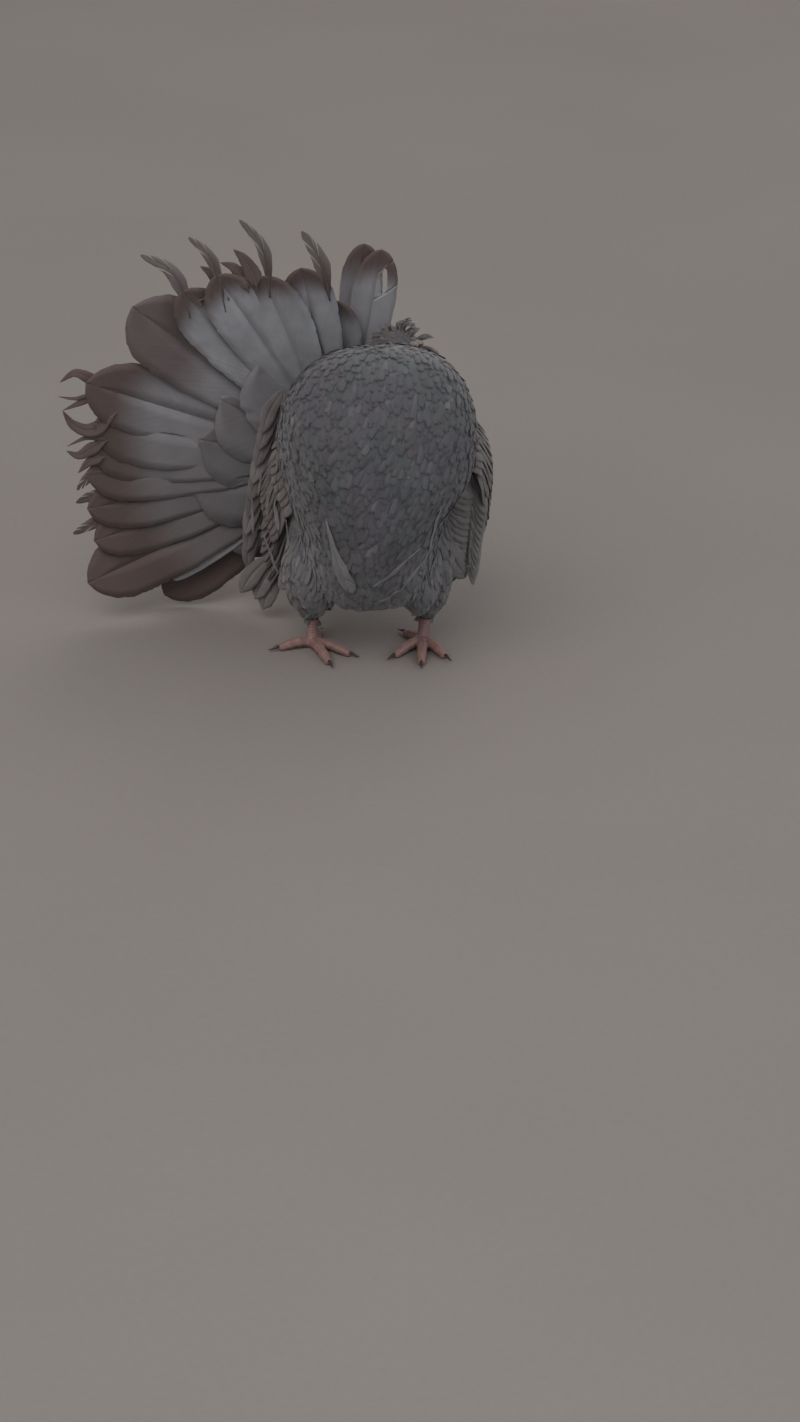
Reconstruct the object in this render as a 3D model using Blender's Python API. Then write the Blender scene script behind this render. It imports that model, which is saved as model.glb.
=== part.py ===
"""A fantail pigeon, life size and still: it stands with its head thrown back behind a round breast
and its fan swung up to its own right. Metres, +Z up, the bird faces -Y."""

import math
from types import SimpleNamespace

import bmesh
import bpy
import numpy as np
from mathutils import Matrix, Vector

# Driving sizes. Places are counted from the floor point midway between the feet, and STANCE
# sets that point so that the whole bird's box is centred on the origin.
STANCE = Vector((0.0507, -0.0078, 0.0))
HEADING = math.radians(8.0)  # the breast is turned a little to the bird's left
GAP = 0.0003  # what touching pieces keep between them

TORSO_SIDES = 28
TORSO_ROUNDNESS = 2.3  # 2 is an ellipse, more is squarer
# height, front, back, half width and middle of the body at each level, in the bird's own frame
TORSO_LEVELS = [
    (0.0310, -0.022, -0.002, 0.0130, 0.0010),
    (0.0350, -0.032, 0.014, 0.0250, 0.0008),
    (0.0450, -0.042, 0.030, 0.0335, 0.0004),
    (0.0610, -0.051, 0.043, 0.0385, 0.0000),
    (0.0780, -0.058, 0.054, 0.0420, 0.0000),
    (0.0950, -0.0625, 0.058, 0.0475, 0.0010),
    (0.1120, -0.0645, 0.054, 0.0550, 0.0038),
    (0.1300, -0.0655, 0.043, 0.0575, 0.0039),
    (0.1500, -0.0630, 0.027, 0.0558, 0.0039),
    (0.1680, -0.0560, 0.013, 0.0495, 0.0039),
    (0.1800, -0.0470, 0.003, 0.0405, 0.0039),
    (0.1875, -0.0370, -0.005, 0.0280, 0.0039),
    (0.1910, -0.0270, -0.014, 0.0120, 0.0039),
]

NECK_SIDES = 16
# centre and radius of the neck, from inside the body up to the back of the head
NECK_RINGS = [
    ((0.006, 0.004, 0.116), 0.020),
    ((0.006, 0.011, 0.126), 0.0265),
    ((0.007, 0.018, 0.140), 0.0240),
    ((0.0095, 0.0245, 0.152), 0.0180),
    ((0.0120, 0.0285, 0.162), 0.0133),
    ((0.0145, 0.0300, 0.170), 0.0110),
    ((0.0160, 0.0300, 0.175), 0.0085),
]

HEAD_CENTRE = Vector((0.0160, 0.0290, 0.1722))
HEAD_TURN = math.radians(47.0)  # to the bird's left of straight ahead
HEAD_LIFT = math.radians(19.0)
HEAD_SIDES = 20
# along the bill's line from the head's centre: place, half width, half height, rise of the middle
HEAD_RINGS = [
    (-0.0165, 0.0030, 0.0035, -0.0020),
    (-0.0145, 0.0068, 0.0075, -0.0016),
    (-0.0100, 0.0099, 0.0108, -0.0008),
    (-0.0040, 0.0114, 0.0122, 0.0000),
    (0.0020, 0.0112, 0.0119, 0.0000),
    (0.0075, 0.0098, 0.0103, -0.0008),
    (0.0120, 0.0076, 0.0082, -0.0020),
    (0.0150, 0.0054, 0.0060, -0.0030),
    (0.0165, 0.0036, 0.0042, -0.0034),
]
EYE_PLACE = (0.0042, 0.0085, 0.0008)  # along the bill's line, to the side, up
EYE_RADIUS = 0.0039
LID_RADIUS = 0.0043
LID_THICKNESS = 0.0007

# each half of the bill, in the head's frame: place along, half width, bottom, top
BILL_UPPER = [
    (0.0110, 0.0036, -0.0042, 0.0006),
    (0.0165, 0.0032, -0.0043, -0.0002),
    (0.0205, 0.0027, -0.0045, -0.0008),
    (0.0250, 0.0021, -0.0050, -0.0015),
    (0.0290, 0.0016, -0.0058, -0.0027),
    (0.0318, 0.0010, -0.0068, -0.0046),
]
BILL_UPPER_TIP = (0.0330, -0.0068)
BILL_LOWER = [
    (0.0110, 0.0031, -0.0072, -0.0045),
    (0.0165, 0.0027, -0.0071, -0.0046),
    (0.0205, 0.0022, -0.0070, -0.0048),
    (0.0250, 0.0016, -0.0070, -0.0053),
    (0.0285, 0.0010, -0.0071, -0.0060),
]
BILL_LOWER_TIP = (0.0300, -0.0067)
BILL_SIDES = 14
CERE_PLACE = (0.0170, 0.0018, 0.0006)
CERE_SIZE = (0.0038, 0.0021, 0.0019)
CERE_SLOPE = math.radians(14.0)
NOSTRIL_PLACE = (0.0190, 0.0036, -0.0002)
NOSTRIL_SIZE = (0.0017, 0.0011, 0.0003)

# The tail. Feathers spring from FAN_ROOT. Each one's angle is counted from straight up,
# towards the bird's right, and its lean is how far its tip comes forward of upright.
FAN_ROOT = Vector((-0.0137, 0.0685, 0.0856))
RUMP_CENTRE = Vector((-0.0110, 0.0600, 0.0870))
RUMP_SIZE = (0.026, 0.021, 0.026)
FAN_START = 0.010  # the vanes start this far from FAN_ROOT
VANE_THICKNESS = 0.00062
SHAFT_THICKNESS = 0.00115
FAN_SHINGLE = math.radians(4.5)  # turn of each feather about its own shaft
FAN_FRONT_ANGLE = 24.0  # the feathers here lie over their neighbours on both sides
# angle, length, width, lean, curl of the tip to the front, bend of the tip down the fan
FAN_FEATHERS = [
    (-9.0, 0.145, 0.021, 8.0, 0.004, -0.001),
    (-3.6, 0.147, 0.022, 9.0, 0.004, 0.001),
    (3.0, 0.113, 0.030, 12.0, 0.004, 0.000),
    (11.0, 0.142, 0.033, 15.5, 0.005, -0.003),
    (19.0, 0.145, 0.034, 17.0, 0.004, 0.000),
    (27.5, 0.157, 0.036, 17.0, 0.004, 0.001),
    (35.5, 0.158, 0.036, 16.0, 0.004, 0.002),
    (46.0, 0.167, 0.050, 14.5, 0.003, 0.001),
    (63.0, 0.165, 0.038, 14.0, 0.003, 0.000),
    (71.0, 0.160, 0.038, 13.5, 0.003, 0.000),
    (79.0, 0.152, 0.036, 13.0, 0.003, 0.000),
    (87.0, 0.151, 0.036, 13.0, 0.003, 0.000),
    (94.5, 0.152, 0.035, 12.5, 0.003, 0.002),
    (102.5, 0.152, 0.035, 12.0, 0.003, 0.002),
    (112.0, 0.164, 0.042, 12.0, 0.002, 0.000),
    (126.0, 0.132, 0.034, 6.0, 0.000, 0.000),
]
# share of its full width that a tail feather has at each share of its length
FAN_OUTLINE = [(0.00, 0.20), (0.18, 0.36), (0.45, 0.76), (0.72, 0.99), (0.88, 0.93), (0.96, 0.64),
               (1.00, 0.26)]
COVERT_OUTLINE = [(0.00, 0.35), (0.45, 0.86), (0.80, 0.94), (1.00, 0.30)]
# Tiers over the fan's root, then its back row of tail feathers and the tier under that: first
# and last angle, count, length, width, how far they lie in front of the fan, curl to the front
FAN_COVERTS = [
    (1.0, 118.0, 9, 0.092, 0.034, 0.0040, 0.001),
    (-5.0, 122.0, 7, 0.066, 0.034, 0.0072, 0.001),
    (14.0, 106.0, 5, 0.132, 0.036, -0.0044, 0.003),
    (6.0, 112.0, 5, 0.080, 0.038, -0.0078, 0.001),
]
FRAY_THICKNESS = 0.00075
# Frayed ends past the feathers' tips: the feather, places on it as a share of its length and a
# distance down the fan, and the width
FRAYS = [
    (3, [(0.83, -0.0125), (0.97, -0.0125), (1.08, -0.0100), (1.19, -0.0045)], 0.0085),
    (4, [(0.90, 0.0005), (1.06, -0.0060), (1.18, -0.0070), (1.30, -0.0020)], 0.0065),
    (4, [(0.92, 0.0045), (1.08, -0.0010), (1.16, 0.0000)], 0.0050),
    (5, [(0.85, -0.0065), (0.98, -0.0145), (1.07, -0.0175)], 0.0070),
    (5, [(0.86, 0.0000), (0.98, -0.0060), (1.06, -0.0070)], 0.0070),
    (5, [(0.88, 0.0070), (1.00, 0.0020), (1.09, 0.0015)], 0.0070),
    (5, [(0.85, 0.0075), (1.03, -0.0020), (1.13, -0.0030), (1.21, 0.0000)], 0.0060),
    (6, [(0.90, 0.0070), (1.01, -0.0010), (1.12, -0.0040), (1.23, 0.0015)], 0.0080),
    (8, [(0.87, 0.0045), (0.97, 0.0005), (1.04, 0.0025), (1.09, 0.0095)], 0.0060),
    (9, [(0.88, -0.0040), (0.96, -0.0050), (1.03, -0.0065), (1.08, 0.0005)], 0.0060),
    (10, [(0.90, -0.0075), (0.99, -0.0095), (1.05, -0.0060), (1.09, 0.0005)], 0.0060),
    (10, [(0.89, 0.0045), (0.98, 0.0035), (1.03, 0.0050), (1.08, 0.0095)], 0.0060),
    (11, [(0.88, 0.0025), (0.97, -0.0020), (1.01, 0.0020), (1.05, 0.0085)], 0.0065),
    (12, [(0.85, 0.0010), (0.93, -0.0055), (0.99, -0.0070), (1.05, -0.0050)], 0.0065),
    (13, [(0.88, -0.0045), (0.97, -0.0100), (1.02, -0.0095), (1.08, -0.0080)], 0.0065),
]

# A folded wing, in the bird's own frame. It follows a bulging surface beside the body, on
# which places are counted down the wing from the wrist, and across it towards the back.
WING_MIDDLE_X = 0.009
WRIST = Vector((0.0, -0.036, 0.156))
WING_SLOPE = math.radians(62.0)  # how steeply the folded wing hangs
WING_BULGE_X = {"left": 0.0640, "right": 0.0605}
WING_BULGE_MIDDLE = (0.022, 0.088)
WING_BULGE_SLIP = 0.45  # how far its middle moves back for each step down past WING_SLIP_START
WING_SLIP_START = 0.050
WING_BULGE = (9.0, 1.5, 8.0)  # how fast it narrows forward and back, down, and up
# how far out each wing's lower half is let go, and how far its tip is drawn in again
WING_SPLAY = {"left": (30.0, 37900.0), "right": (36.0, 0.0)}
WING_SHINGLE = math.radians(8.3)
WING_VANE_THICKNESS = 0.00058
WING_SHAFT_THICKNESS = 0.00100
FLIGHT_OUTLINE = [(0.00, 0.55), (0.35, 0.95), (0.72, 0.95), (0.93, 0.60), (1.00, 0.22)]
WING_COVERT_OUTLINE = [(0.00, 0.60), (0.60, 1.00), (0.90, 0.66), (1.00, 0.24)]
# Tiers of a wing: count, then root and tip for the first and last feather, widths, and heights
# over the bulge at the root and the tip
WING_TIERS = [
    SimpleNamespace(count=6, root=((0.040, 0.004), (0.046, 0.012)), tip=((0.168, 0.006), (0.120, 0.022)),
                    width=(0.0150, 0.0180), height=((-0.0030, -0.0052), (0.0016, 0.0008)), shingle=2.6,
                    outline=FLIGHT_OUTLINE),
    SimpleNamespace(count=7, root=((0.040, 0.006), (0.034, 0.036)), tip=((0.114, 0.008), (0.096, 0.040)),
                    width=(0.0170, 0.0165), height=((0.0022, 0.0026), (0.0022, 0.0026)), shingle=1.0,
                    outline=FLIGHT_OUTLINE),
    SimpleNamespace(count=6, root=((0.026, 0.002), (0.016, 0.034)), tip=((0.080, 0.000), (0.066, 0.039)),
                    width=(0.0165, 0.0165), height=((0.0036, 0.0048), (0.0036, 0.0048)), shingle=1.0,
                    outline=WING_COVERT_OUTLINE),
    SimpleNamespace(count=6, root=((0.008, 0.000), (0.004, 0.030)), tip=((0.052, -0.003), (0.040, 0.035)),
                    width=(0.0155, 0.0155), height=((0.0036, 0.0064), (0.0036, 0.0064)), shingle=1.0,
                    outline=WING_COVERT_OUTLINE),
]
# the arm under the coverts: place down the wing, front edge, back edge, height over the bulge
# and depth under it, as far as the body
ARM_RINGS = [
    (-0.004, 0.005, 0.012, 0.0006, 0.010),
    (0.002, -0.003, 0.020, 0.0036, 0.022),
    (0.014, -0.006, 0.031, 0.0052, 0.030),
    (0.034, -0.008, 0.038, 0.0052, 0.032),
    (0.056, -0.007, 0.041, 0.0040, 0.032),
    (0.080, -0.004, 0.038, 0.0018, 0.029),
    (0.102, -0.001, 0.032, -0.0012, 0.023),
    (0.122, 0.005, 0.025, -0.0042, 0.013),
]
ARM_SIDES = 16

# Legs. The shin shows under the feathers from the pad to the cuff; the leg then goes up to
# the hip inside the body. Toes are (across, towards the back) from the pad to their tips.
LEGS = {
    "right": SimpleNamespace(
        pad=(-0.0322, -0.0010), cuff=(-0.0318, 0.0045, 0.0165), knee=(-0.0355, 0.0040, 0.0320),
        hip=(-0.0340, 0.0000, 0.0520), end=(-0.0200, -0.0020, 0.0800),
        toes={"outer": (-0.0185, -0.0070), "middle": (0.0100, -0.0265), "inner": (0.0215, -0.0150),
              "hind": (0.0040, 0.0150)}),
    "left": SimpleNamespace(
        pad=(0.0318, 0.0010), cuff=(0.0332, 0.0060, 0.0165), knee=(0.0360, 0.0050, 0.0320),
        hip=(0.0352, 0.0010, 0.0580), end=(0.0300, 0.0010, 0.0860),
        toes={"outer": (0.0125, -0.0200), "middle": (-0.0010, -0.0290), "inner": (-0.0160, -0.0190),
              "hind": (-0.0100, 0.0120)}),
}
SHIN_RADIUS = 0.0036
TOE_RADIUS = 0.0033
TOE_TIP_RADIUS = 0.0023
TOE_SINK = 0.0009  # how far a toe's round underside is flattened where it meets the floor
TOE_SWELL = 1.16
TOE_ARCH = 0.0016
CLAW_LENGTH = 0.0072
CLAW_RADIUS = 0.0013
LEG_SIDES = 10
THIGH_RADII = (0.0050, 0.0082, 0.0122, 0.0158, 0.0140)
THIGH_SIDES = 16

COLOURS = {
    "plumage": ((0.085, 0.090, 0.102), 0.75),
    "tail_plumage": ((0.095, 0.092, 0.098), 0.65),
    "wing_plumage": ((0.055, 0.052, 0.055), 0.70),
    "bill": ((0.030, 0.026, 0.026), 0.45),
    "cere": ((0.420, 0.380, 0.360), 0.60),
    "eye": ((0.120, 0.040, 0.010), 0.15),
    "foot_skin": ((0.420, 0.130, 0.110), 0.60),
    "claw": ((0.020, 0.017, 0.016), 0.40),
}


def clear_scene():
    for obj in list(bpy.data.objects):
        bpy.data.objects.remove(obj)


def material(slot):
    found = bpy.data.materials.get(slot)
    if found:
        return found
    colour, roughness = COLOURS[slot]
    made = bpy.data.materials.new(slot)
    made.use_nodes = True
    shader = made.node_tree.nodes["Principled BSDF"]
    shader.inputs["Base Color"].default_value = (*colour, 1.0)
    shader.inputs["Roughness"].default_value = roughness
    return made


def new_object(name, verts, faces, slot):
    """A mesh object from points and faces, with its normals facing out."""
    mesh = bpy.data.meshes.new(name)
    mesh.from_pydata([tuple(v) for v in verts], [], faces)
    shape = bmesh.new()
    shape.from_mesh(mesh)
    bmesh.ops.recalc_face_normals(shape, faces=shape.faces)
    shape.to_mesh(mesh)
    shape.free()
    mesh.shade_smooth()
    obj = bpy.data.objects.new(name, mesh)
    obj.data.materials.append(material(slot))
    bpy.context.scene.collection.objects.link(obj)
    return obj


def through(rows, steps):
    """Points on a smooth Catmull-Rom line through rows, with so many steps between two rows."""
    rows = [np.array(row, float) for row in rows]
    padded = [2 * rows[0] - rows[1], *rows, 2 * rows[-1] - rows[-2]]
    found = []
    for i in range(1, len(padded) - 2):
        before, start, end, after = padded[i - 1:i + 3]
        for step in range(steps):
            t = step / steps
            found.append(0.5 * (2 * start + (end - before) * t
                                + (2 * before - 5 * start + 4 * end - after) * t ** 2
                                + (3 * start - before - 3 * end + after) * t ** 3))
    return [*found, rows[-1]]


def rounded_ring(sides, exponent=2.0):
    """Unit points round a superellipse."""
    ring = []
    for k in range(sides):
        c, s = math.cos(2 * math.pi * k / sides), math.sin(2 * math.pi * k / sides)
        ring.append((math.copysign(abs(c) ** (2 / exponent), c),
                     math.copysign(abs(s) ** (2 / exponent), s)))
    return ring


def skin_over(name, rings, slot, first_pole=None, last_pole=None):
    """One closed body over rings of equal count. Each end closes on a pole, or on a flat face."""
    count = len(rings[0])
    verts = [point for ring in rings for point in ring]
    faces = []
    for i in range(len(rings) - 1):
        for k in range(count):
            a, b = i * count + k, i * count + (k + 1) % count
            faces.append((a, b, b + count, a + count))
    for pole, start in ((first_pole, 0), (last_pole, len(verts) - count)):
        loop = list(range(start, start + count))
        if pole is None:
            faces.append(loop)
            continue
        verts.append(pole)
        tip = len(verts) - 1
        faces.extend((loop[k], loop[(k + 1) % count], tip) for k in range(count))
    return new_object(name, verts, faces, slot)


def tube_over(name, centres, radii, sides, slot, flat_ends=True):
    """A round bar along centres. With no flat ends it closes on a pole a little past each end."""
    centres = [Vector(c) for c in centres]
    rings = []
    across = None
    for i, centre in enumerate(centres):
        along = (centres[min(i + 1, len(centres) - 1)] - centres[max(i - 1, 0)]).normalized()
        if across is None:
            across = along.orthogonal().normalized()
        across = (across - along * across.dot(along)).normalized()
        over = along.cross(across)
        rings.append([centre + (across * c + over * s) * radii[i] for c, s in rounded_ring(sides)])
    if flat_ends:
        return skin_over(name, rings, slot)
    first = centres[0] + (centres[0] - centres[1]).normalized() * radii[0] * 0.6
    last = centres[-1] + (centres[-1] - centres[-2]).normalized() * radii[-1] * 0.6
    return skin_over(name, rings, slot, first, last)


def ball(name, centre, size, slot, turn=None, detail=(20, 12)):
    """An ellipsoid."""
    shape = bmesh.new()
    bmesh.ops.create_uvsphere(shape, u_segments=detail[0], v_segments=detail[1], radius=1.0)
    place = Matrix.Translation(centre) @ (turn.to_4x4() if turn else Matrix.Identity(4))
    place = place @ Matrix.Diagonal((*size, 1.0))
    bmesh.ops.transform(shape, matrix=place, verts=shape.verts)
    mesh = bpy.data.meshes.new(name)
    shape.to_mesh(mesh)
    shape.free()
    mesh.shade_smooth()
    obj = bpy.data.objects.new(name, mesh)
    obj.data.materials.append(material(slot))
    bpy.context.scene.collection.objects.link(obj)
    return obj


def applied(obj):
    """Makes what the modifiers show the object's own mesh."""
    bpy.context.view_layer.update()
    shown = obj.evaluated_get(bpy.context.evaluated_depsgraph_get())
    mesh = bpy.data.meshes.new_from_object(shown)
    obj.modifiers.clear()
    obj.data = mesh
    return obj


def largest_body(obj):
    """Keeps only the largest closed surface of the mesh."""
    shape = bmesh.new()
    shape.from_mesh(obj.data)
    left = set(shape.verts)
    bodies = []
    while left:
        body, edge = set(), {left.pop()}
        while edge:
            vert = edge.pop()
            body.add(vert)
            near = {e.other_vert(vert) for e in vert.link_edges} & left
            left -= near
            edge |= near
        bodies.append(body)

    def extent(body):
        points = np.array([v.co for v in body])
        return float(np.prod(points.max(0) - points.min(0) + 1e-6))

    keep = max(bodies, key=extent)
    bmesh.ops.delete(shape, geom=[v for v in shape.verts if v not in keep], context="VERTS")
    shape.to_mesh(obj.data)
    shape.free()
    return obj


def joined(obj, others, operation="UNION", solver="EXACT"):
    """obj with the others fused to it, or taken from it. The others are removed."""
    group = bpy.data.collections.new(obj.name + "_pieces")
    for other in others:
        group.objects.link(other)
        if other.name in bpy.context.scene.collection.objects:
            bpy.context.scene.collection.objects.unlink(other)
    bpy.context.scene.collection.children.link(group)
    modifier = obj.modifiers.new("join", "BOOLEAN")
    modifier.operation = operation
    modifier.operand_type = "COLLECTION"
    modifier.collection = group
    modifier.solver = solver
    applied(obj)
    for other in others:
        bpy.data.objects.remove(other)
    bpy.data.collections.remove(group)
    return largest_body(obj)


def swollen(obj, by):
    """A copy of the object with every point moved out by that much, to cut a neighbour with."""
    copy = obj.copy()
    copy.data = obj.data.copy()
    copy.name = obj.name + "_swollen"
    bpy.context.scene.collection.objects.link(copy)
    shape = bmesh.new()
    shape.from_mesh(copy.data)
    bmesh.ops.triangulate(shape, faces=shape.faces)
    shape.normal_update()
    moved = {v: v.co + v.normal * by * v.calc_shell_factor() for v in shape.verts}
    for vert, place in moved.items():
        vert.co = place
    shape.to_mesh(copy.data)
    shape.free()
    return copy


def slab(name, centre, normal, thickness, size):
    """A flat block whose faces cross normal, for parting two pieces."""
    turn = Vector((0, 0, 1)).rotation_difference(normal.normalized()).to_matrix()
    shape = bmesh.new()
    bmesh.ops.create_cube(shape, size=1.0)
    place = Matrix.Translation(centre) @ turn.to_4x4() @ Matrix.Diagonal((size, size, thickness, 1))
    bmesh.ops.transform(shape, matrix=place, verts=shape.verts)
    mesh = bpy.data.meshes.new(name)
    shape.to_mesh(mesh)
    shape.free()
    obj = bpy.data.objects.new(name, mesh)
    bpy.context.scene.collection.objects.link(obj)
    return obj


def heading(point):
    """From the bird's own frame to the floor's: turned by HEADING about the stance."""
    return Matrix.Rotation(HEADING, 3, "Z") @ Vector(point)


def vane(name, line, sides, normals, widths, thickness, shaft, slot):
    """A feather's flat blade: a thin closed strip along line, ridged by its shaft. Both faces
    are split into the same triangles."""
    verts = []
    for centre, side, normal, width in zip(line, sides, normals, widths):
        half, edge, ridge = side * (width / 2), normal * (thickness / 2), normal * (shaft / 2)
        verts += [centre - half + edge, centre + ridge, centre + half + edge,
                  centre - half - edge, centre - ridge, centre + half - edge]
    faces = []
    for i in range(len(line) - 1):
        a, b = 6 * i, 6 * (i + 1)
        for k in (0, 1):
            faces += [(a + k, a + k + 1, b + k + 1), (a + k, b + k + 1, b + k)]
            faces += [(a + k + 4, a + k + 3, b + k + 4), (b + k + 4, a + k + 3, b + k + 3)]
        faces += [(a, b, a + 3), (b, b + 3, a + 3)]
        faces += [(b + 2, a + 2, a + 5), (b + 2, a + 5, b + 5)]
    for a in (0, 6 * (len(line) - 1)):
        faces += [(a, a + 1, a + 4), (a, a + 4, a + 3), (a + 1, a + 2, a + 5), (a + 1, a + 5, a + 4)]
    return new_object(name, verts, faces, slot)


def make_torso():
    ring = rounded_ring(TORSO_SIDES, TORSO_ROUNDNESS)
    rings = []
    for height, front, back, half, across in through(TORSO_LEVELS, 2):
        middle, depth = (front + back) / 2, (back - front) / 2
        rings.append([heading((across + half * c, middle + depth * s, height)) for c, s in ring])

    def pole(level, past):
        return heading((level[4], (level[1] + level[2]) / 2, level[0] + past))

    return skin_over("torso", rings, "plumage", pole(TORSO_LEVELS[0], -0.0008), pole(TORSO_LEVELS[-1], 0.0009))


def make_neck(torso):
    rows = through([(*centre, radius) for centre, radius in NECK_RINGS], 2)
    neck = tube_over("neck", [row[:3] for row in rows], [row[3] for row in rows], NECK_SIDES, "plumage",
                     flat_ends=False)
    return joined(neck, [swollen(torso, GAP)], "DIFFERENCE")


def head_axes():
    ahead = Vector((math.sin(HEAD_TURN) * math.cos(HEAD_LIFT), -math.cos(HEAD_TURN) * math.cos(HEAD_LIFT),
                    math.sin(HEAD_LIFT)))
    side = Vector((math.cos(HEAD_TURN), math.sin(HEAD_TURN), 0.0))
    return ahead, side, ahead.cross(side)


def on_head(along, aside, up):
    ahead, side, over = head_axes()
    return HEAD_CENTRE + ahead * along + side * aside + over * up


def head_turn():
    """Rotation whose columns are the head's ahead, side and up."""
    return Matrix(head_axes()).transposed()


def make_head():
    """The head with its lids round the eyes' sockets."""
    rings = []
    rows = through(HEAD_RINGS, 2)
    for along, half_width, half_height, rise in rows:
        rings.append([on_head(along, half_width * c, rise + half_height * s) for c, s in rounded_ring(HEAD_SIDES, 2.15)])
    head = skin_over("head", rings, "plumage", on_head(rows[0][0] - 0.001, 0, rows[0][3]),
                     on_head(rows[-1][0] + 0.0006, 0, rows[-1][3]))
    lids = []
    for side in (-1, 1):
        lids.append(make_lid(side))
    joined(head, lids)
    sockets = [eye(side, EYE_RADIUS + GAP, "socket") for side in (-1, 1)]
    return joined(head, sockets, "DIFFERENCE")


def make_lid(side):
    along, aside, up = EYE_PLACE
    shape = bmesh.new()
    segments, rounds = 14, 5
    rings = []
    for i in range(segments):
        turn = 2 * math.pi * i / segments
        ring = []
        for k in range(rounds):
            tilt = 2 * math.pi * k / rounds
            out = LID_RADIUS + LID_THICKNESS * math.cos(tilt)
            # the ring lies on the eyeball's outer side, where it comes out of the head
            ring.append(on_head(along + out * math.cos(turn),
                                side * (aside + 0.0022 + LID_THICKNESS * math.sin(tilt)),
                                up + 0.86 * out * math.sin(turn)))
        rings.append([shape.verts.new(point) for point in ring])
    for i in range(segments):
        for k in range(rounds):
            shape.faces.new((rings[i][k], rings[(i + 1) % segments][k],
                             rings[(i + 1) % segments][(k + 1) % rounds], rings[i][(k + 1) % rounds]))
    bmesh.ops.recalc_face_normals(shape, faces=shape.faces)
    mesh = bpy.data.meshes.new("lid")
    shape.to_mesh(mesh)
    shape.free()
    obj = bpy.data.objects.new("lid", mesh)
    bpy.context.scene.collection.objects.link(obj)
    return obj


def eye(side, radius, name):
    along, aside, up = EYE_PLACE
    return ball(name, on_head(along, side * aside, up), (radius,) * 3, "eye", detail=(14, 8))


def bill_half(name, rows, tip):
    rings = []
    for along, half, low, high in through(rows, 2):
        middle, rise = (low + high) / 2, (high - low) / 2
        rings.append([on_head(along, half * c, middle + rise * s) for c, s in rounded_ring(BILL_SIDES, 2.2)])
    return skin_over(name, rings, "bill", None, on_head(tip[0], 0, tip[1]))


def make_bill(head):
    upper = bill_half("bill_upper", BILL_UPPER, BILL_UPPER_TIP)
    lower = bill_half("bill_lower", BILL_LOWER, BILL_LOWER_TIP)
    joined(upper, [swollen(head, GAP)], "DIFFERENCE")
    joined(lower, [swollen(head, GAP)], "DIFFERENCE")
    along, aside, up = CERE_PLACE
    turn = head_turn() @ Matrix.Rotation(CERE_SLOPE, 3, "Y")
    lobes = [ball(f"cere_{side}", on_head(along, side * aside, up), CERE_SIZE, "cere", turn, (14, 8)) for side in (-1, 1)]
    cere = lobes[0]
    cere.name = "cere"
    joined(cere, [lobes[1]])
    along, aside, up = NOSTRIL_PLACE
    slits = [ball(f"slit_{side}", on_head(along, side * aside, up), NOSTRIL_SIZE, "cere", turn, (12, 8))
             for side in (-1, 1)]
    joined(cere, [swollen(head, GAP)], "DIFFERENCE")
    joined(cere, [swollen(upper, GAP)], "DIFFERENCE")
    joined(cere, slits, "DIFFERENCE")
    return upper, lower, cere


def fan_axes(angle, lean):
    """Along a tail feather, down the fan, and out of its front face."""
    angle, lean = math.radians(angle), math.radians(lean)
    along = Vector((-math.sin(angle) * math.cos(lean), -math.sin(lean), math.cos(angle) * math.cos(lean)))
    down = Vector((-math.cos(angle), 0.0, -math.sin(angle)))
    return along, down, along.cross(down)


def fan_feather(feather, share, aside=0.0, lift=0.0):
    """A place on a tail feather, with the direction across it and out of its front face."""
    angle, length, _, lean, curl, drop = feather
    along, down, front = fan_axes(angle, lean)
    twist = FAN_SHINGLE * max(-1.0, min(1.0, (angle - FAN_FRONT_ANGLE) / 8.0))
    side = down * math.cos(twist) + front * math.sin(twist)
    out = front * math.cos(twist) - down * math.sin(twist)
    place = FAN_ROOT + along * (length * share) + front * (curl * share ** 2) + down * (drop * share ** 2)
    return place + side * aside + out * lift, side, out


def fan_vane(name, feather, outline, lift, thickness, shaft, start=FAN_START):
    line, sides, outs, widths = [], [], [], []
    first = start / feather[1]
    for share, wide in outline:
        place, side, out = fan_feather(feather, first + (1 - first) * share, 0.0, lift)
        line.append(place)
        sides.append(side)
        outs.append(out)
        widths.append(feather[2] * wide)
    return vane(name, line, sides, outs, widths, thickness, shaft, "tail_plumage")


def fray(name, feather, points, width):
    """A frayed end: a thin strip that springs from the feather and goes past its tip."""
    line, outs, sides, widths = [], [], [], []
    for share, aside in points:
        line.append(fan_feather(feather, share, aside)[0])
    for i in range(len(line)):
        along = (line[min(i + 1, len(line) - 1)] - line[max(i - 1, 0)]).normalized()
        side = along.cross(fan_feather(feather, 1.0)[2]).normalized()
        sides.append(side)
        outs.append(side.cross(along))
        share = i / (len(line) - 1)
        widths.append(width * (1.0 - 0.82 * share ** 2.4))
    return vane(name, line, sides, outs, widths, FRAY_THICKNESS, FRAY_THICKNESS * 1.4, "tail_plumage")


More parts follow.
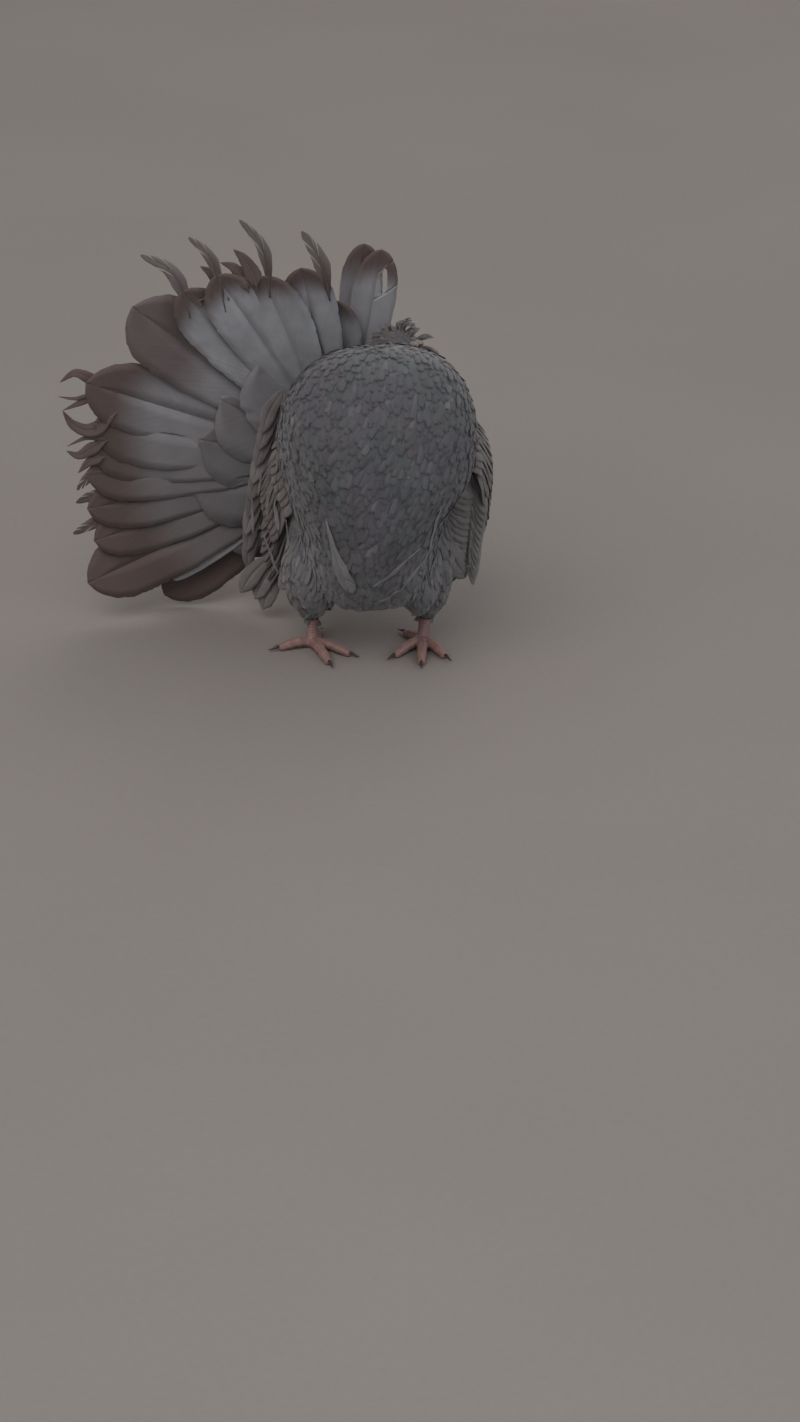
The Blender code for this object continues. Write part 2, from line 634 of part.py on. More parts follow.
def make_tail(torso):
    tail = ball("tail", RUMP_CENTRE, RUMP_SIZE, "tail_plumage", detail=(24, 14))
    pieces = []
    for i, feather in enumerate(FAN_FEATHERS):
        pieces.append(fan_vane(f"rectrix_{i}", feather, FAN_OUTLINE, 0.0, VANE_THICKNESS, SHAFT_THICKNESS))
    leans = [(f[0], f[3]) for f in FAN_FEATHERS]
    for tier, (first, last, count, length, width, lift, curl) in enumerate(FAN_COVERTS):
        for i in range(count):
            angle = first + (last - first) * i / (count - 1)
            lean = float(np.interp(angle, [a for a, _ in leans], [b for _, b in leans]))
            feather = (angle, length * (1 + 0.04 * math.sin(5.0 * i + tier)), width, lean, curl, 0.0)
            pieces.append(fan_vane(f"covert_{tier}_{i}", feather, COVERT_OUTLINE, lift, VANE_THICKNESS,
                                   SHAFT_THICKNESS))
    for i, (feather, points, width) in enumerate(FRAYS):
        pieces.append(fray(f"fray_{i}", FAN_FEATHERS[feather], points, width))
    joined(tail, pieces, solver="MANIFOLD")
    return joined(tail, [swollen(torso, GAP)], "DIFFERENCE")


def wing_place(side, down, across, height):
    """A place on a folded wing, its height counted out of the bulging surface."""

    def surface(d, a):
        y = WRIST.y + d * math.cos(WING_SLOPE) + a * math.sin(WING_SLOPE)
        z = WRIST.z - d * math.sin(WING_SLOPE) + a * math.cos(WING_SLOPE)
        rise = z - WING_BULGE_MIDDLE[1]
        middle = WING_BULGE_MIDDLE[0] + WING_BULGE_SLIP * max(d - WING_SLIP_START, 0.0)
        x = (WING_BULGE_X[side] - WING_BULGE[0] * (y - middle) ** 2
             - WING_BULGE[2 if rise > 0 else 1] * rise ** 2
             + WING_SPLAY[side][0] * max(d, 0.0) ** 4 - WING_SPLAY[side][1] * max(d, 0.0) ** 8)
        return Vector((x, y, z))

    step = 0.001
    here = surface(down, across)
    out = (surface(down, across + step) - here).cross(surface(down - step, across) - here).normalized()
    place = here + out * height
    if side == "right":
        place.x, out.x = -place.x, -out.x
    place.x += WING_MIDDLE_X
    return heading(place), heading(out)


def wing_vane(name, side, root, tip, width, heights, twist, outline):
    line = []
    for share, _ in outline:
        down = root[0] + (tip[0] - root[0]) * share
        across = root[1] + (tip[1] - root[1]) * share
        line.append(wing_place(side, down, across, heights[0] + (heights[1] - heights[0]) * share))
    points = [place for place, _ in line]
    sides, outs, widths = [], [], []
    for i, (_, out) in enumerate(line):
        along = (points[min(i + 1, len(points) - 1)] - points[max(i - 1, 0)]).normalized()
        across = along.cross(out).normalized()
        if (heading((0.0, 1.0, 0.0))).dot(across) < 0:
            across.negate()
        out = out - along * out.dot(along)
        out.normalize()
        sides.append(across * math.cos(twist) + out * math.sin(twist))
        outs.append(out * math.cos(twist) - across * math.sin(twist))
        widths.append(width * outline[i][1])
    return vane(name, points, sides, outs, widths, WING_VANE_THICKNESS, WING_SHAFT_THICKNESS, "wing_plumage")


def make_wing(side, torso, thigh):
    rings = []
    for down, front, back, high, deep in through(ARM_RINGS, 2):
        ring = []
        for c, s in rounded_ring(ARM_SIDES, 2.2):
            across = (front + back) / 2 + (back - front) / 2 * c
            middle = (high - deep) / 2
            ring.append(wing_place(side, down, across, middle + (high - middle) * s)[0])
        rings.append(ring)
    wing = skin_over(f"wing_{side}", rings, "wing_plumage",
                     wing_place(side, ARM_RINGS[0][0] - 0.0015, 0.0085, -0.005)[0],
                     wing_place(side, ARM_RINGS[-1][0] + 0.003, 0.015, -0.009)[0])
    pieces = []
    for number, tier in enumerate(WING_TIERS):
        for i in range(tier.count):
            share = i / (tier.count - 1)

            def between(pair):
                return tuple(a + (b - a) * share for a, b in zip(pair[0], pair[1]))

            width = tier.width[0] + (tier.width[1] - tier.width[0]) * share
            pieces.append(wing_vane(f"vane_{number}_{i}", side, between(tier.root), between(tier.tip), width,
                                    between(tier.height), -WING_SHINGLE * tier.shingle, tier.outline))
    joined(wing, pieces, solver="MANIFOLD")
    joined(wing, [swollen(torso, GAP)], "DIFFERENCE", "MANIFOLD")
    return joined(wing, [swollen(thigh, GAP)], "DIFFERENCE", "MANIFOLD")


def make_thigh(side, torso):
    leg = LEGS[side]
    stops = [leg.cuff, tuple(0.65 * a + 0.35 * b for a, b in zip(leg.cuff, leg.knee)), leg.knee, leg.hip, leg.end]
    rows = through([(*stop, radius) for stop, radius in zip(stops, THIGH_RADII)], 3)
    thigh = tube_over(f"thigh_{side}", [row[:3] for row in rows], [row[3] for row in rows], THIGH_SIDES,
                      "plumage", flat_ends=False)
    return joined(thigh, [swollen(torso, GAP)], "DIFFERENCE")


def toe_line(side, toe):
    """Centres and radii of a toe, from the middle of the foot to its tip."""
    leg = LEGS[side]
    reach = Vector((*leg.toes[toe], 0.0))
    start = Vector((*leg.pad, 0.0))
    centres, radii = [], []
    for k in range(8):
        share = k / 7
        radius = TOE_RADIUS + (TOE_TIP_RADIUS - TOE_RADIUS) * share
        swell = TOE_SWELL if k % 2 == 1 and k < 7 else 1.0
        arch = TOE_ARCH * math.sin(math.pi * share) if toe != "hind" else 0.4 * TOE_ARCH * math.sin(math.pi * share)
        centres.append(start + reach * share + Vector((0, 0, radius - TOE_SINK * (1 - 0.2 * share) + arch)))
        radii.append(radius * swell)
    return centres, radii


def make_foot(side, thigh):
    leg = LEGS[side]
    top = Vector(leg.cuff) + (Vector(leg.knee) - Vector(leg.cuff)) * 0.3
    low = Vector((*leg.pad, 0.0038))
    rows = through([(*low, SHIN_RADIUS * 1.12), (*(low.lerp(Vector(leg.cuff), 0.45)), SHIN_RADIUS * 0.94),
                    (*leg.cuff, SHIN_RADIUS), (*top, SHIN_RADIUS)], 3)
    foot = tube_over(f"foot_{side}", [row[:3] for row in rows], [row[3] for row in rows], LEG_SIDES,
                     "foot_skin", flat_ends=False)
    toes = []
    for toe in leg.toes:
        centres, radii = toe_line(side, toe)
        toes.append(tube_over(f"toe_{toe}", centres, radii, 9, "foot_skin", flat_ends=False))
    joined(foot, toes)
    floor = slab("floor", Vector((*leg.pad, -0.01)), Vector((0, 0, 1)), 0.02, 0.12)
    joined(foot, [floor], "DIFFERENCE")
    return joined(foot, [swollen(thigh, GAP)], "DIFFERENCE")


def make_claws(side, foot):
    claws = []
    for toe in LEGS[side].toes:
        centres, _ = toe_line(side, toe)
        along = centres[-1] - centres[-2]
        along.z = 0.0
        along.normalize()
        start = centres[-1] - along * 0.0012
        rows = []
        for k in range(6):
            share = k / 5
            height = start.z + 0.0012 + 0.0010 * share - 0.0034 * share ** 2
            place = start + along * (CLAW_LENGTH + 0.0012) * share
            rows.append((place.x, place.y, max(height, CLAW_RADIUS + 0.0004),
                         CLAW_RADIUS * (1 - 0.80 * share ** 1.4)))
        claw = tube_over(f"claw_{side}_{toe}", [row[:3] for row in rows], [row[3] for row in rows], 8,
                         "claw", flat_ends=False)
        claws.append(joined(claw, [swollen(foot, GAP)], "DIFFERENCE"))
    return claws


def main():
    clear_scene()
    torso = make_torso()
    neck = make_neck(torso)
    head = make_head()
    joined(neck, [swollen(head, GAP)], "DIFFERENCE")
    make_bill(head)
    for side, name in ((-1, "eye_right"), (1, "eye_left")):
        eye(side, EYE_RADIUS, name)
    make_tail(torso)
    for side in ("left", "right"):
        thigh = make_thigh(side, torso)
        make_wing(side, torso, thigh)
        foot = make_foot(side, thigh)
        make_claws(side, foot)
    stance = bpy.data.objects.new("stance", None)
    bpy.context.scene.collection.objects.link(stance)
    stance.location = STANCE
    for obj in bpy.data.objects:
        if obj.type == "MESH":
            obj.parent = stance


main()
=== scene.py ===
"""A fantail pigeon standing with its head thrown back behind a round breast and its fan swung up."""

import math

import bmesh
import bpy
import numpy as np
from mathutils import Matrix, Vector
from mathutils.bvhtree import BVHTree


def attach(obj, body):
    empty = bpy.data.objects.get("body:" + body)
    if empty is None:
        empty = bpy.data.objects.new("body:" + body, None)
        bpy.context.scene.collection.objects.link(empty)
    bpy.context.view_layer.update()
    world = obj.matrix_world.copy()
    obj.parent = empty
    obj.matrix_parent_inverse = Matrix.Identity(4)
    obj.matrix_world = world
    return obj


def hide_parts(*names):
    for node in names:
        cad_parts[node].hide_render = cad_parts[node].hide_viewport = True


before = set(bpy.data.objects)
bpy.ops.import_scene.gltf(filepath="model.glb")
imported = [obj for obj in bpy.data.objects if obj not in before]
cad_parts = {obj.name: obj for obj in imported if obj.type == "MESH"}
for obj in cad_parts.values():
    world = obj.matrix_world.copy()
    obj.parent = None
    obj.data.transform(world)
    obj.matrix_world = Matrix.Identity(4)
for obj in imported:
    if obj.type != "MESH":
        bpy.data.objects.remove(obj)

for startup in ("Cube", "Light", "Camera"):
    if startup in bpy.data.objects:
        bpy.data.objects.remove(bpy.data.objects[startup])
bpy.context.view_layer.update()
bpy.ops.object.select_all(action="DESELECT")


# The camera looks down on the bird from about 2.1 m, as a person does with a phone held at the
# chest. Its long side takes in 1422 of the picture's pixels, which its lens covers at 3548 a radian.
bpy.ops.object.camera_add(location=(0.06926, -1.87316, 0.86983), rotation=(math.radians(63.93), 0, 0))
camera = bpy.context.active_object
camera.name = "camera"
camera.data.sensor_width = 36.0
camera.data.lens = 36.0 * 3548 / 1422
bpy.context.scene.camera = camera


def linear(hex_colour):
    """An sRGB hex colour as the linear colour that a shader takes."""
    parts = [int(hex_colour[i:i + 2], 16) / 255 for i in (1, 3, 5)]
    return (*[p / 12.92 if p <= 0.04045 else ((p + 0.055) / 1.055) ** 2.4 for p in parts], 1.0)


def node(tree, kind, links=None, **settings):
    """Adds a node. Links go from its inputs' names, or numbers, to a value or to another's output."""
    made = tree.nodes.new(kind)
    for name, value in settings.items():
        setattr(made, name, value)
    for socket, value in (links or {}).items():
        if isinstance(value, bpy.types.NodeSocket):
            tree.links.new(value, made.inputs[socket])
        else:
            made.inputs[socket].default_value = value
    return made


def mix(tree, share, first, second):
    """The colour between two, each of them a hex colour or another node's output."""
    both = [linear(colour) if isinstance(colour, str) else colour for colour in (first, second)]
    made = node(tree, "ShaderNodeMix", {"Factor": share, 6: both[0], 7: both[1]}, data_type="RGBA")
    return made.outputs[2]


def noise(tree, place, scale, detail):
    """Soft noise round a place."""
    made = node(tree, "ShaderNodeTexNoise", {"Vector": place, "Scale": scale, "Detail": detail})
    return made.outputs["Fac"]


def held(tree, name, output="Fac"):
    """What the mesh holds under a name."""
    return node(tree, "ShaderNodeAttribute", attribute_name=name).outputs[output]


def finish(name, inputs):
    """A new material with its tree and its shader, whose inputs are given by name."""
    made = bpy.data.materials.new(name)
    made.use_nodes = True
    shader = made.node_tree.nodes["Principled BSDF"]
    for socket, value in inputs.items():
        shader.inputs[socket].default_value = value
    return made, made.node_tree, shader


def dress(tree, shader, colour, height, strength, distance, **settings):
    """Gives a shader its colour, and a fine relief from a height."""
    tree.links.new(colour, shader.inputs["Base Color"])
    bump = node(tree, "ShaderNodeBump", {"Height": height, "Strength": strength, "Distance": distance},
                **settings)
    tree.links.new(bump.outputs["Normal"], shader.inputs["Normal"])


# Soft studio light: a broad lamp over the bird's right shoulder, a weaker one from the other
# side, and one from behind for the upper edges. A pale even room keeps the shade on the bird as
# low in contrast as outdoors under trees.
def lamp(name, place, size, watts, colour):
    bpy.ops.object.light_add(type="AREA", location=place)
    made = bpy.context.active_object
    made.name = name
    made.data.shape = "DISK"
    made.data.size = size
    made.data.energy = watts
    made.data.color = linear(colour)[:3]
    made.rotation_euler = (Vector((0.02, 0.0, 0.10)) - Vector(place)).to_track_quat("-Z", "Y").to_euler()


lamp("lamp_over", (-0.65, -1.35, 1.95), 2.0, 29.0, "#fff4ee")
lamp("lamp_side", (1.7, -1.2, 1.1), 1.6, 8.0, "#eef2ff")
lamp("lamp_back", (0.5, 1.5, 1.7), 1.4, 7.5, "#fff2e8")
room = bpy.data.worlds.new("room")
bpy.context.scene.world = room
room.use_nodes = True
room.node_tree.nodes["Background"].inputs["Color"].default_value = linear("#e4e2e0")
room.node_tree.nodes["Background"].inputs["Strength"].default_value = 0.86


# The floor is a plain pale concrete slab, floated smooth, with the faint cloudiness and the
# fine grit of its surface.
bpy.ops.mesh.primitive_plane_add(size=6.0, location=(0, 0, 0))
floor = bpy.context.active_object
floor.name = "floor"
bpy.ops.object.mode_set(mode="EDIT")
bpy.ops.mesh.subdivide(number_cuts=8)
bpy.ops.object.mode_set(mode="OBJECT")
concrete, tree, shader = finish("floated_concrete", {"Roughness": 0.9, "Specular IOR Level": 0.25})
place = node(tree, "ShaderNodeTexCoord").outputs["Object"]
clouds, grit = noise(tree, place, 3.0, 4.0), noise(tree, place, 260.0, 3.0)
both = node(tree, "ShaderNodeMix", {"Factor": 0.35, 2: clouds, 3: grit})
dress(tree, shader, mix(tree, both.outputs[0], "#726e6c", "#827e7b"), grit, 0.25, 0.0006)
floor.data.materials.append(concrete)


# The skin: one soft body under all the feathers, over breast, neck, head, thighs, the rump that
# carries the fan, and the arm of each folded wing. It is made of the solids' own forms, fused
# and smoothed, and lies inside them by the depth of the coat.
# STANCE is the point midway between the feet, from which the bird's places are counted. Its
# breast is turned by HEADING, and HEAD is the middle of its head.
STANCE = Vector((0.0507, -0.0078, 0.0))
HEADING = Matrix.Rotation(math.radians(8.0), 3, "Z")
HEAD = STANCE + Vector((0.0160, 0.0290, 0.1722))
HEAD_TURN, HEAD_LIFT = math.radians(47.0), math.radians(19.0)
AHEAD = Vector((math.sin(HEAD_TURN) * math.cos(HEAD_LIFT), -math.cos(HEAD_TURN) * math.cos(HEAD_LIFT),
                math.sin(HEAD_LIFT)))
ASIDE = Vector((math.cos(HEAD_TURN), math.sin(HEAD_TURN), 0.0))
ABOVE = AHEAD.cross(ASIDE)
# A folded wing follows a bulging surface beside the body, in the bird's own frame, on which places
# are counted down the wing from the wrist and across it towards the back.
WING_MIDDLE_X = 0.009
WRIST_Y, WRIST_Z = -0.036, 0.156
WING_SLOPE = math.radians(62.0)
BULGE_X = {"left": 0.0640, "right": 0.0605}
BULGE_Y, BULGE_Z = 0.022, 0.088
BULGE_SLIP, SLIP_START = 0.45, 0.050
FALL_BACK, FALL_UP, FALL_DOWN = 9.0, 8.0, 1.5
SPLAY, TUCK = {"left": 30.0, "right": 36.0}, {"left": 37900.0, "right": 0.0}
COAT_DEPTH = {"torso": 0.0019, "neck": 0.0014, "head": 0.0007, "thigh": 0.0012, "rump": 0.0012, "arm": 0.0014}


def on_head(along, aside, up):
    """A place counted from the head's middle, along its own axes."""
    return HEAD + AHEAD * along + ASIDE * aside + ABOVE * up


def wing_surface(side, down, across):
    """A place on the bulging surface that a folded wing follows, in the bird's own frame."""
    y = WRIST_Y + down * math.cos(WING_SLOPE) + across * math.sin(WING_SLOPE)
    z = WRIST_Z - down * math.sin(WING_SLOPE) + across * math.cos(WING_SLOPE)
    middle = BULGE_Y + BULGE_SLIP * max(down - SLIP_START, 0.0)
    x = (BULGE_X[side] - FALL_BACK * (y - middle) ** 2
         - (FALL_UP if z > BULGE_Z else FALL_DOWN) * (z - BULGE_Z) ** 2
         + SPLAY[side] * max(down, 0.0) ** 4 - TUCK[side] * max(down, 0.0) ** 8)
    return Vector((x, y, z))


def wing_place(side, down, across, height):
    """A place on a folded wing and its outward direction, in the frame of the whole part."""
    here = wing_surface(side, down, across)
    backwards = wing_surface(side, down, across + 0.001) - here
    upwards = wing_surface(side, down - 0.001, across) - here
    out = backwards.cross(upwards).normalized()
    spot = here + out * height
    if side == "right":
        spot.x, out.x = -spot.x, -out.x
    spot.x += WING_MIDDLE_X
    return STANCE + HEADING @ spot, HEADING @ out


def through(rows, steps):
    """Rows on a smooth line through the given rows."""
    rows = [np.array(row, float) for row in rows]
    padded = [2 * rows[0] - rows[1], *rows, 2 * rows[-1] - rows[-2]]
    found = []
    for i in range(1, len(padded) - 2):
        a, b, c, d = padded[i - 1:i + 3]
        for t in np.arange(steps) / steps:
            found.append(0.5 * (2 * b + (c - a) * t + (2 * a - 5 * b + 4 * c - d) * t ** 2
                                + (3 * b - a - 3 * c + d) * t ** 3))
    return [*found, rows[-1]]


def built(name, shape):
    """A new piece from a shape whose faces are turned outwards."""
    bmesh.ops.recalc_face_normals(shape, faces=shape.faces)
    mesh = bpy.data.meshes.new(name)
    shape.to_mesh(mesh)
    shape.free()
    made = bpy.data.objects.new(name, mesh)
    bpy.context.scene.collection.objects.link(made)
    return made


def loft(name, rings):
    """A closed body over rings of points, its ends closed flat."""
    shape = bmesh.new()
    loops = [[shape.verts.new(point) for point in ring] for ring in rings]
    for low, high in zip(loops, loops[1:]):
        for k in range(len(low)):
            shape.faces.new((low[k], low[(k + 1) % len(low)], high[(k + 1) % len(low)], high[k]))
    shape.faces.new(loops[0])
    shape.faces.new(loops[-1])
    return built(name, shape)


def copy_of(name, swell=0.0):
    """A copy of a solid with its loose triangles joined, moved out a little where pieces must fuse."""
    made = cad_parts[name].copy()
    made.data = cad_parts[name].data.copy()
    made.parent = None
    for key in list(made.keys()):
        del made[key]
    made.name = "copy_" + name
    bpy.context.scene.collection.objects.link(made)
    shape = bmesh.new()
    shape.from_mesh(made.data)
    bmesh.ops.remove_doubles(shape, verts=shape.verts, dist=0.00002)
    shape.normal_update()
    for vert in shape.verts:
        vert.co += vert.normal * swell
    shape.to_mesh(made.data)
    shape.free()
    return made


def fused(pieces, name, voxel, smoothing):
    """The pieces as one soft body: joined, remeshed, and smoothed."""
    bpy.ops.object.select_all(action="DESELECT")
    for piece in pieces:
        piece.select_set(True)
    bpy.context.view_layer.objects.active = pieces[0]
    if len(pieces) > 1:
        bpy.ops.object.join()
    made = bpy.context.active_object
    made.name = made.data.name = name
    remesh = made.modifiers.new("remesh", "REMESH")
    remesh.mode = "VOXEL"
    remesh.voxel_size = voxel
    bpy.ops.object.modifier_apply(modifier="remesh")
    smooth = made.modifiers.new("smooth", "SMOOTH")
    smooth.factor = 0.5
    smooth.iterations = smoothing
    bpy.ops.object.modifier_apply(modifier="smooth")
    made.data.materials.clear()
    bpy.ops.object.shade_smooth()
    return made


# down the wing, front and back edges, and how high and deep the flesh stands about its surface
ARM_RINGS = [
    (-0.004, 0.005, 0.012, 0.0006, 0.010),
    (0.002, -0.003, 0.020, 0.0036, 0.022),
    (0.014, -0.006, 0.031, 0.0052, 0.030),
    (0.034, -0.008, 0.038, 0.0052, 0.032),
    (0.056, -0.007, 0.041, 0.0040, 0.032),
    (0.080, -0.004, 0.038, 0.0018, 0.029),
    (0.102, -0.001, 0.032, -0.0012, 0.023),
    (0.122, 0.005, 0.025, -0.0042, 0.013),
]


def wing_arm(side):
    """The fleshy arm and hand of a folded wing."""
    rings = []
    for down, front, back, high, deep in through(ARM_RINGS, 3):
        ring = []
        for k in range(24):
            c, s = math.cos(2 * math.pi * k / 24), math.sin(2 * math.pi * k / 24)
            across = (front + back) / 2 + (back - front) / 2 * c
            middle = (high - deep) / 2
            ring.append(wing_place(side, down, across, middle + (high - middle) * s)[0])
        rings.append(ring)
    return loft("arm_" + side, rings)


FAN_ROOT = STANCE + Vector((-0.0137, 0.0685, 0.0856))


def fleshy_ball(at, size, segments, rings):
    """A ball of flesh with the given half sizes, at a place counted from the stance."""
    bpy.ops.mesh.primitive_uv_sphere_add(segments=segments, ring_count=rings, radius=1.0,
                                         location=STANCE + Vector(at), scale=size)
    bpy.ops.object.transform_apply(location=True, rotation=False, scale=True)
    return bpy.context.active_object


rump = fleshy_ball((-0.0110, 0.0600, 0.0870), (0.026, 0.021, 0.026), 32, 20)
# folds of flesh that fill the hollow between belly and thighs
folds = [fleshy_ball((side * 0.029, -0.012, 0.050), (0.014, 0.017, 0.026), 24, 16) for side in (-1, 1)]
flesh = {"torso_right_fold": folds[0], "torso_left_fold": folds[1]}
for name in ("torso", "neck", "head", "thigh_left", "thigh_right"):
    flesh[name] = copy_of(name, 0.0003)
flesh.update(rump=rump, arm_left=wing_arm("left"), arm_right=wing_arm("right"))
flesh_trees = {}
for name, piece in flesh.items():
    piece.data.calc_loop_triangles()
    flesh_trees[name] = BVHTree.FromPolygons([tuple(v.co) for v in piece.data.vertices],
                                             [tuple(t.vertices) for t in piece.data.loop_triangles])
skin = fused(list(flesh.values()), "skin", 0.0015, 4)


def region_of(points):
    """The name of the form that each point lies on."""
    names = list(flesh_trees)
    away = np.array([[flesh_trees[name].find_nearest(Vector(p))[3] for name in names] for p in points])
    return np.array(names)[away.argmin(1)]


def rows_of(items, what, width, kind=float):
    """What a mesh holds of each of its items, as rows of an array."""
    found = np.empty(len(items) * width, kind)
    items.foreach_get(what, found)
    return found.reshape(-1, width)


coords = rows_of(skin.data.vertices, "co", 3)
normals = rows_of(skin.data.vertices, "normal", 3)
depth = np.array([COAT_DEPTH[name.split("_")[0]] for name in region_of(coords)])
skin.data.vertices.foreach_set("co", (coords - normals * depth[:, None]).ravel())
skin.data.update()
bpy.context.view_layer.objects.active = skin
skin.select_set(True)
bpy.ops.object.modifier_add(type="SMOOTH")
skin.modifiers[-1].iterations = 3
bpy.ops.object.modifier_apply(modifier=skin.modifiers[-1].name)
skin.data.uv_layers.new(name="OFBake")
bpy.ops.object.mode_set(mode="EDIT")
bpy.ops.mesh.select_all(action="SELECT")
bpy.ops.uv.smart_project(angle_limit=math.radians(66), island_margin=0.004)
bpy.ops.object.mode_set(mode="OBJECT")


# Plumage colour: dark slate blue-grey on the body with a faint green and purple bloom, paler
# patches where the soft edges of the feathers lift, and browner where it is worn. Keratin barbs
# lie side by side, which gives a fine grain and a soft sheen rather than a gloss. Skin and
# feathers take the colour from the place of the feather's root, so they carry the same markings.
# The tone, wear and paleness each feather holds also carry painted light: painted shade high on
# the body and low in the fan, and paler painted light low on the body, on the upper fan and along
# the edges of the frays.
def plumage(name, dark, pale, worn, bloom, grain, mottle, sheen):
    """The finish of one kind of feather. Bloom is a pair of tints, grain how closely the barbs lie
    (coarser than real ones, to show), and mottle how strongly dark patches stand against pale."""
    made, tree, shader = finish(name, {"Roughness": 0.62, "Specular IOR Level": 0.35, "Sheen Weight": sheen,
                                       "Sheen Roughness": 0.45})
    root = held(tree, "root", "Vector")
    tone_and_painted_light, wear_and_painted_light, fade_and_painted_light = held(tree, "tone_and_painted_light"), held(tree, "wear_and_painted_light"), held(tree, "fade_and_painted_light")
    spread = node(tree, "ShaderNodeMapRange", {"Value": noise(tree, root, 85.0, 2.0), "From Min": 0.36,
                                               "From Max": 0.66, "To Min": 1.0 - mottle, "To Max": 1.0})
    paleness = node(tree, "ShaderNodeMath", {0: spread.outputs[0], 1: tone_and_painted_light}, operation="MULTIPLY")
    base = mix(tree, paleness.outputs[0], dark, pale)
    turn = node(tree, "ShaderNodeMapRange", {"Value": noise(tree, root, 38.0, 1.0), "From Min": 0.40,
                                             "From Max": 0.60})
    tinted = mix(tree, 0.30, base, mix(tree, turn.outputs[0], *bloom))
    faded = mix(tree, fade_and_painted_light, mix(tree, wear_and_painted_light, tinted, worn), "#a2a1a2")
    blade = node(tree, "ShaderNodeUVMap", uv_map="Blade").outputs["UV"]
    across = node(tree, "ShaderNodeSeparateXYZ", {"Vector": blade})
    centred = node(tree, "ShaderNodeMath", {0: across.outputs["X"], 1: 0.5}, operation="SUBTRACT")
    away = node(tree, "ShaderNodeMath", {0: centred.outputs[0]}, operation="ABSOLUTE")
    slanted = node(tree, "ShaderNodeMath", {0: away.outputs[0], 1: -0.55, 2: across.outputs["Y"]},
                   operation="MULTIPLY_ADD")
    rows = node(tree, "ShaderNodeMath", {0: slanted.outputs[0], 1: grain}, operation="MULTIPLY")
    barb = node(tree, "ShaderNodeMath", {0: rows.outputs[0]}, operation="SINE")
    banded = node(tree, "ShaderNodeCombineXYZ", {"X": slanted.outputs[0], "Y": 0.0, "Z": tone_and_painted_light})
    fibres = noise(tree, banded.outputs[0], grain / 14.0, 3.0)
    uneven = node(tree, "ShaderNodeMath", {0: fibres, 1: 3.0, 2: barb.outputs[0]}, operation="MULTIPLY_ADD")
    lined = node(tree, "ShaderNodeMapRange", {"Value": uneven.outputs[0], "From Min": 0.0, "From Max": 3.0,
                                              "To Min": 0.84, "To Max": 1.14})
    final = node(tree, "ShaderNodeVectorMath", {0: faded}, operation="SCALE")
    tree.links.new(lined.outputs[0], final.inputs["Scale"])
    dress(tree, shader, final.outputs[0], barb.outputs[0], 0.35, 0.0002)
    return made


body_plumage = plumage("slate_body_plumage", "#43454b", "#676a70", "#5d5755", ("#434f51", "#504a57"),
                       230.0, 0.8, 0.24)
# The wings' harder feathers are browner than the body's, with almost no bloom and a finer grain.
wing_plumage = plumage("dark_wing_plumage", "#525052", "#767376", "#5b514e", ("#515051", "#545154"),
                       500.0, 0.8, 0.20)


def mesh_piece(name, verts, tris, blade, bake, floats, root, material):
    """A piece from arrays: triangles with the flat place on each blade, its patch for baking, and
    one value a point for each named attribute."""
    mesh = bpy.data.meshes.new(name)
    mesh.vertices.add(len(verts))
    mesh.vertices.foreach_set("co", np.asarray(verts, np.float32).ravel())
    mesh.loops.add(3 * len(tris))
    mesh.loops.foreach_set("vertex_index", np.asarray(tris, np.int32).ravel())
    mesh.polygons.add(len(tris))
    mesh.polygons.foreach_set("loop_start", np.arange(0, 3 * len(tris), 3, dtype=np.int32))
    mesh.polygons.foreach_set("use_smooth", np.ones(len(tris), bool))
    mesh.update(calc_edges=True)
    corners = np.asarray(tris).ravel()
    for layer, flat in (("OFBake", bake), ("Blade", blade)):
        mesh.uv_layers.new(name=layer).data.foreach_set("uv", np.asarray(flat, np.float32)[corners].ravel())
    for label, values in floats.items():
        mesh.attributes.new(label, "FLOAT", "POINT").data.foreach_set("value", np.asarray(values, np.float32))
    roots = mesh.attributes.new("root", "FLOAT_VECTOR", "POINT")
    roots.data.foreach_set("vector", np.asarray(root, np.float32).ravel())
    mesh.materials.append(material)
    made = bpy.data.objects.new(name, mesh)
    bpy.context.scene.collection.objects.link(made)
    return made


coords = rows_of(skin.data.vertices, "co", 3)
for label, value in (("tone_and_painted_light", 0.6), ("wear_and_painted_light", 0.0), ("fade_and_painted_light", 0.0)):
    values = np.full(len(coords), value, np.float32)
    skin.data.attributes.new(label, "FLOAT", "POINT").data.foreach_set("value", values)
roots = skin.data.attributes.new("root", "FLOAT_VECTOR", "POINT")
roots.data.foreach_set("vector", coords.astype(np.float32).ravel())
skin.data.materials.append(body_plumage)
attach(skin, "root")
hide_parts("torso", "neck", "head", "thigh_left", "thigh_right")


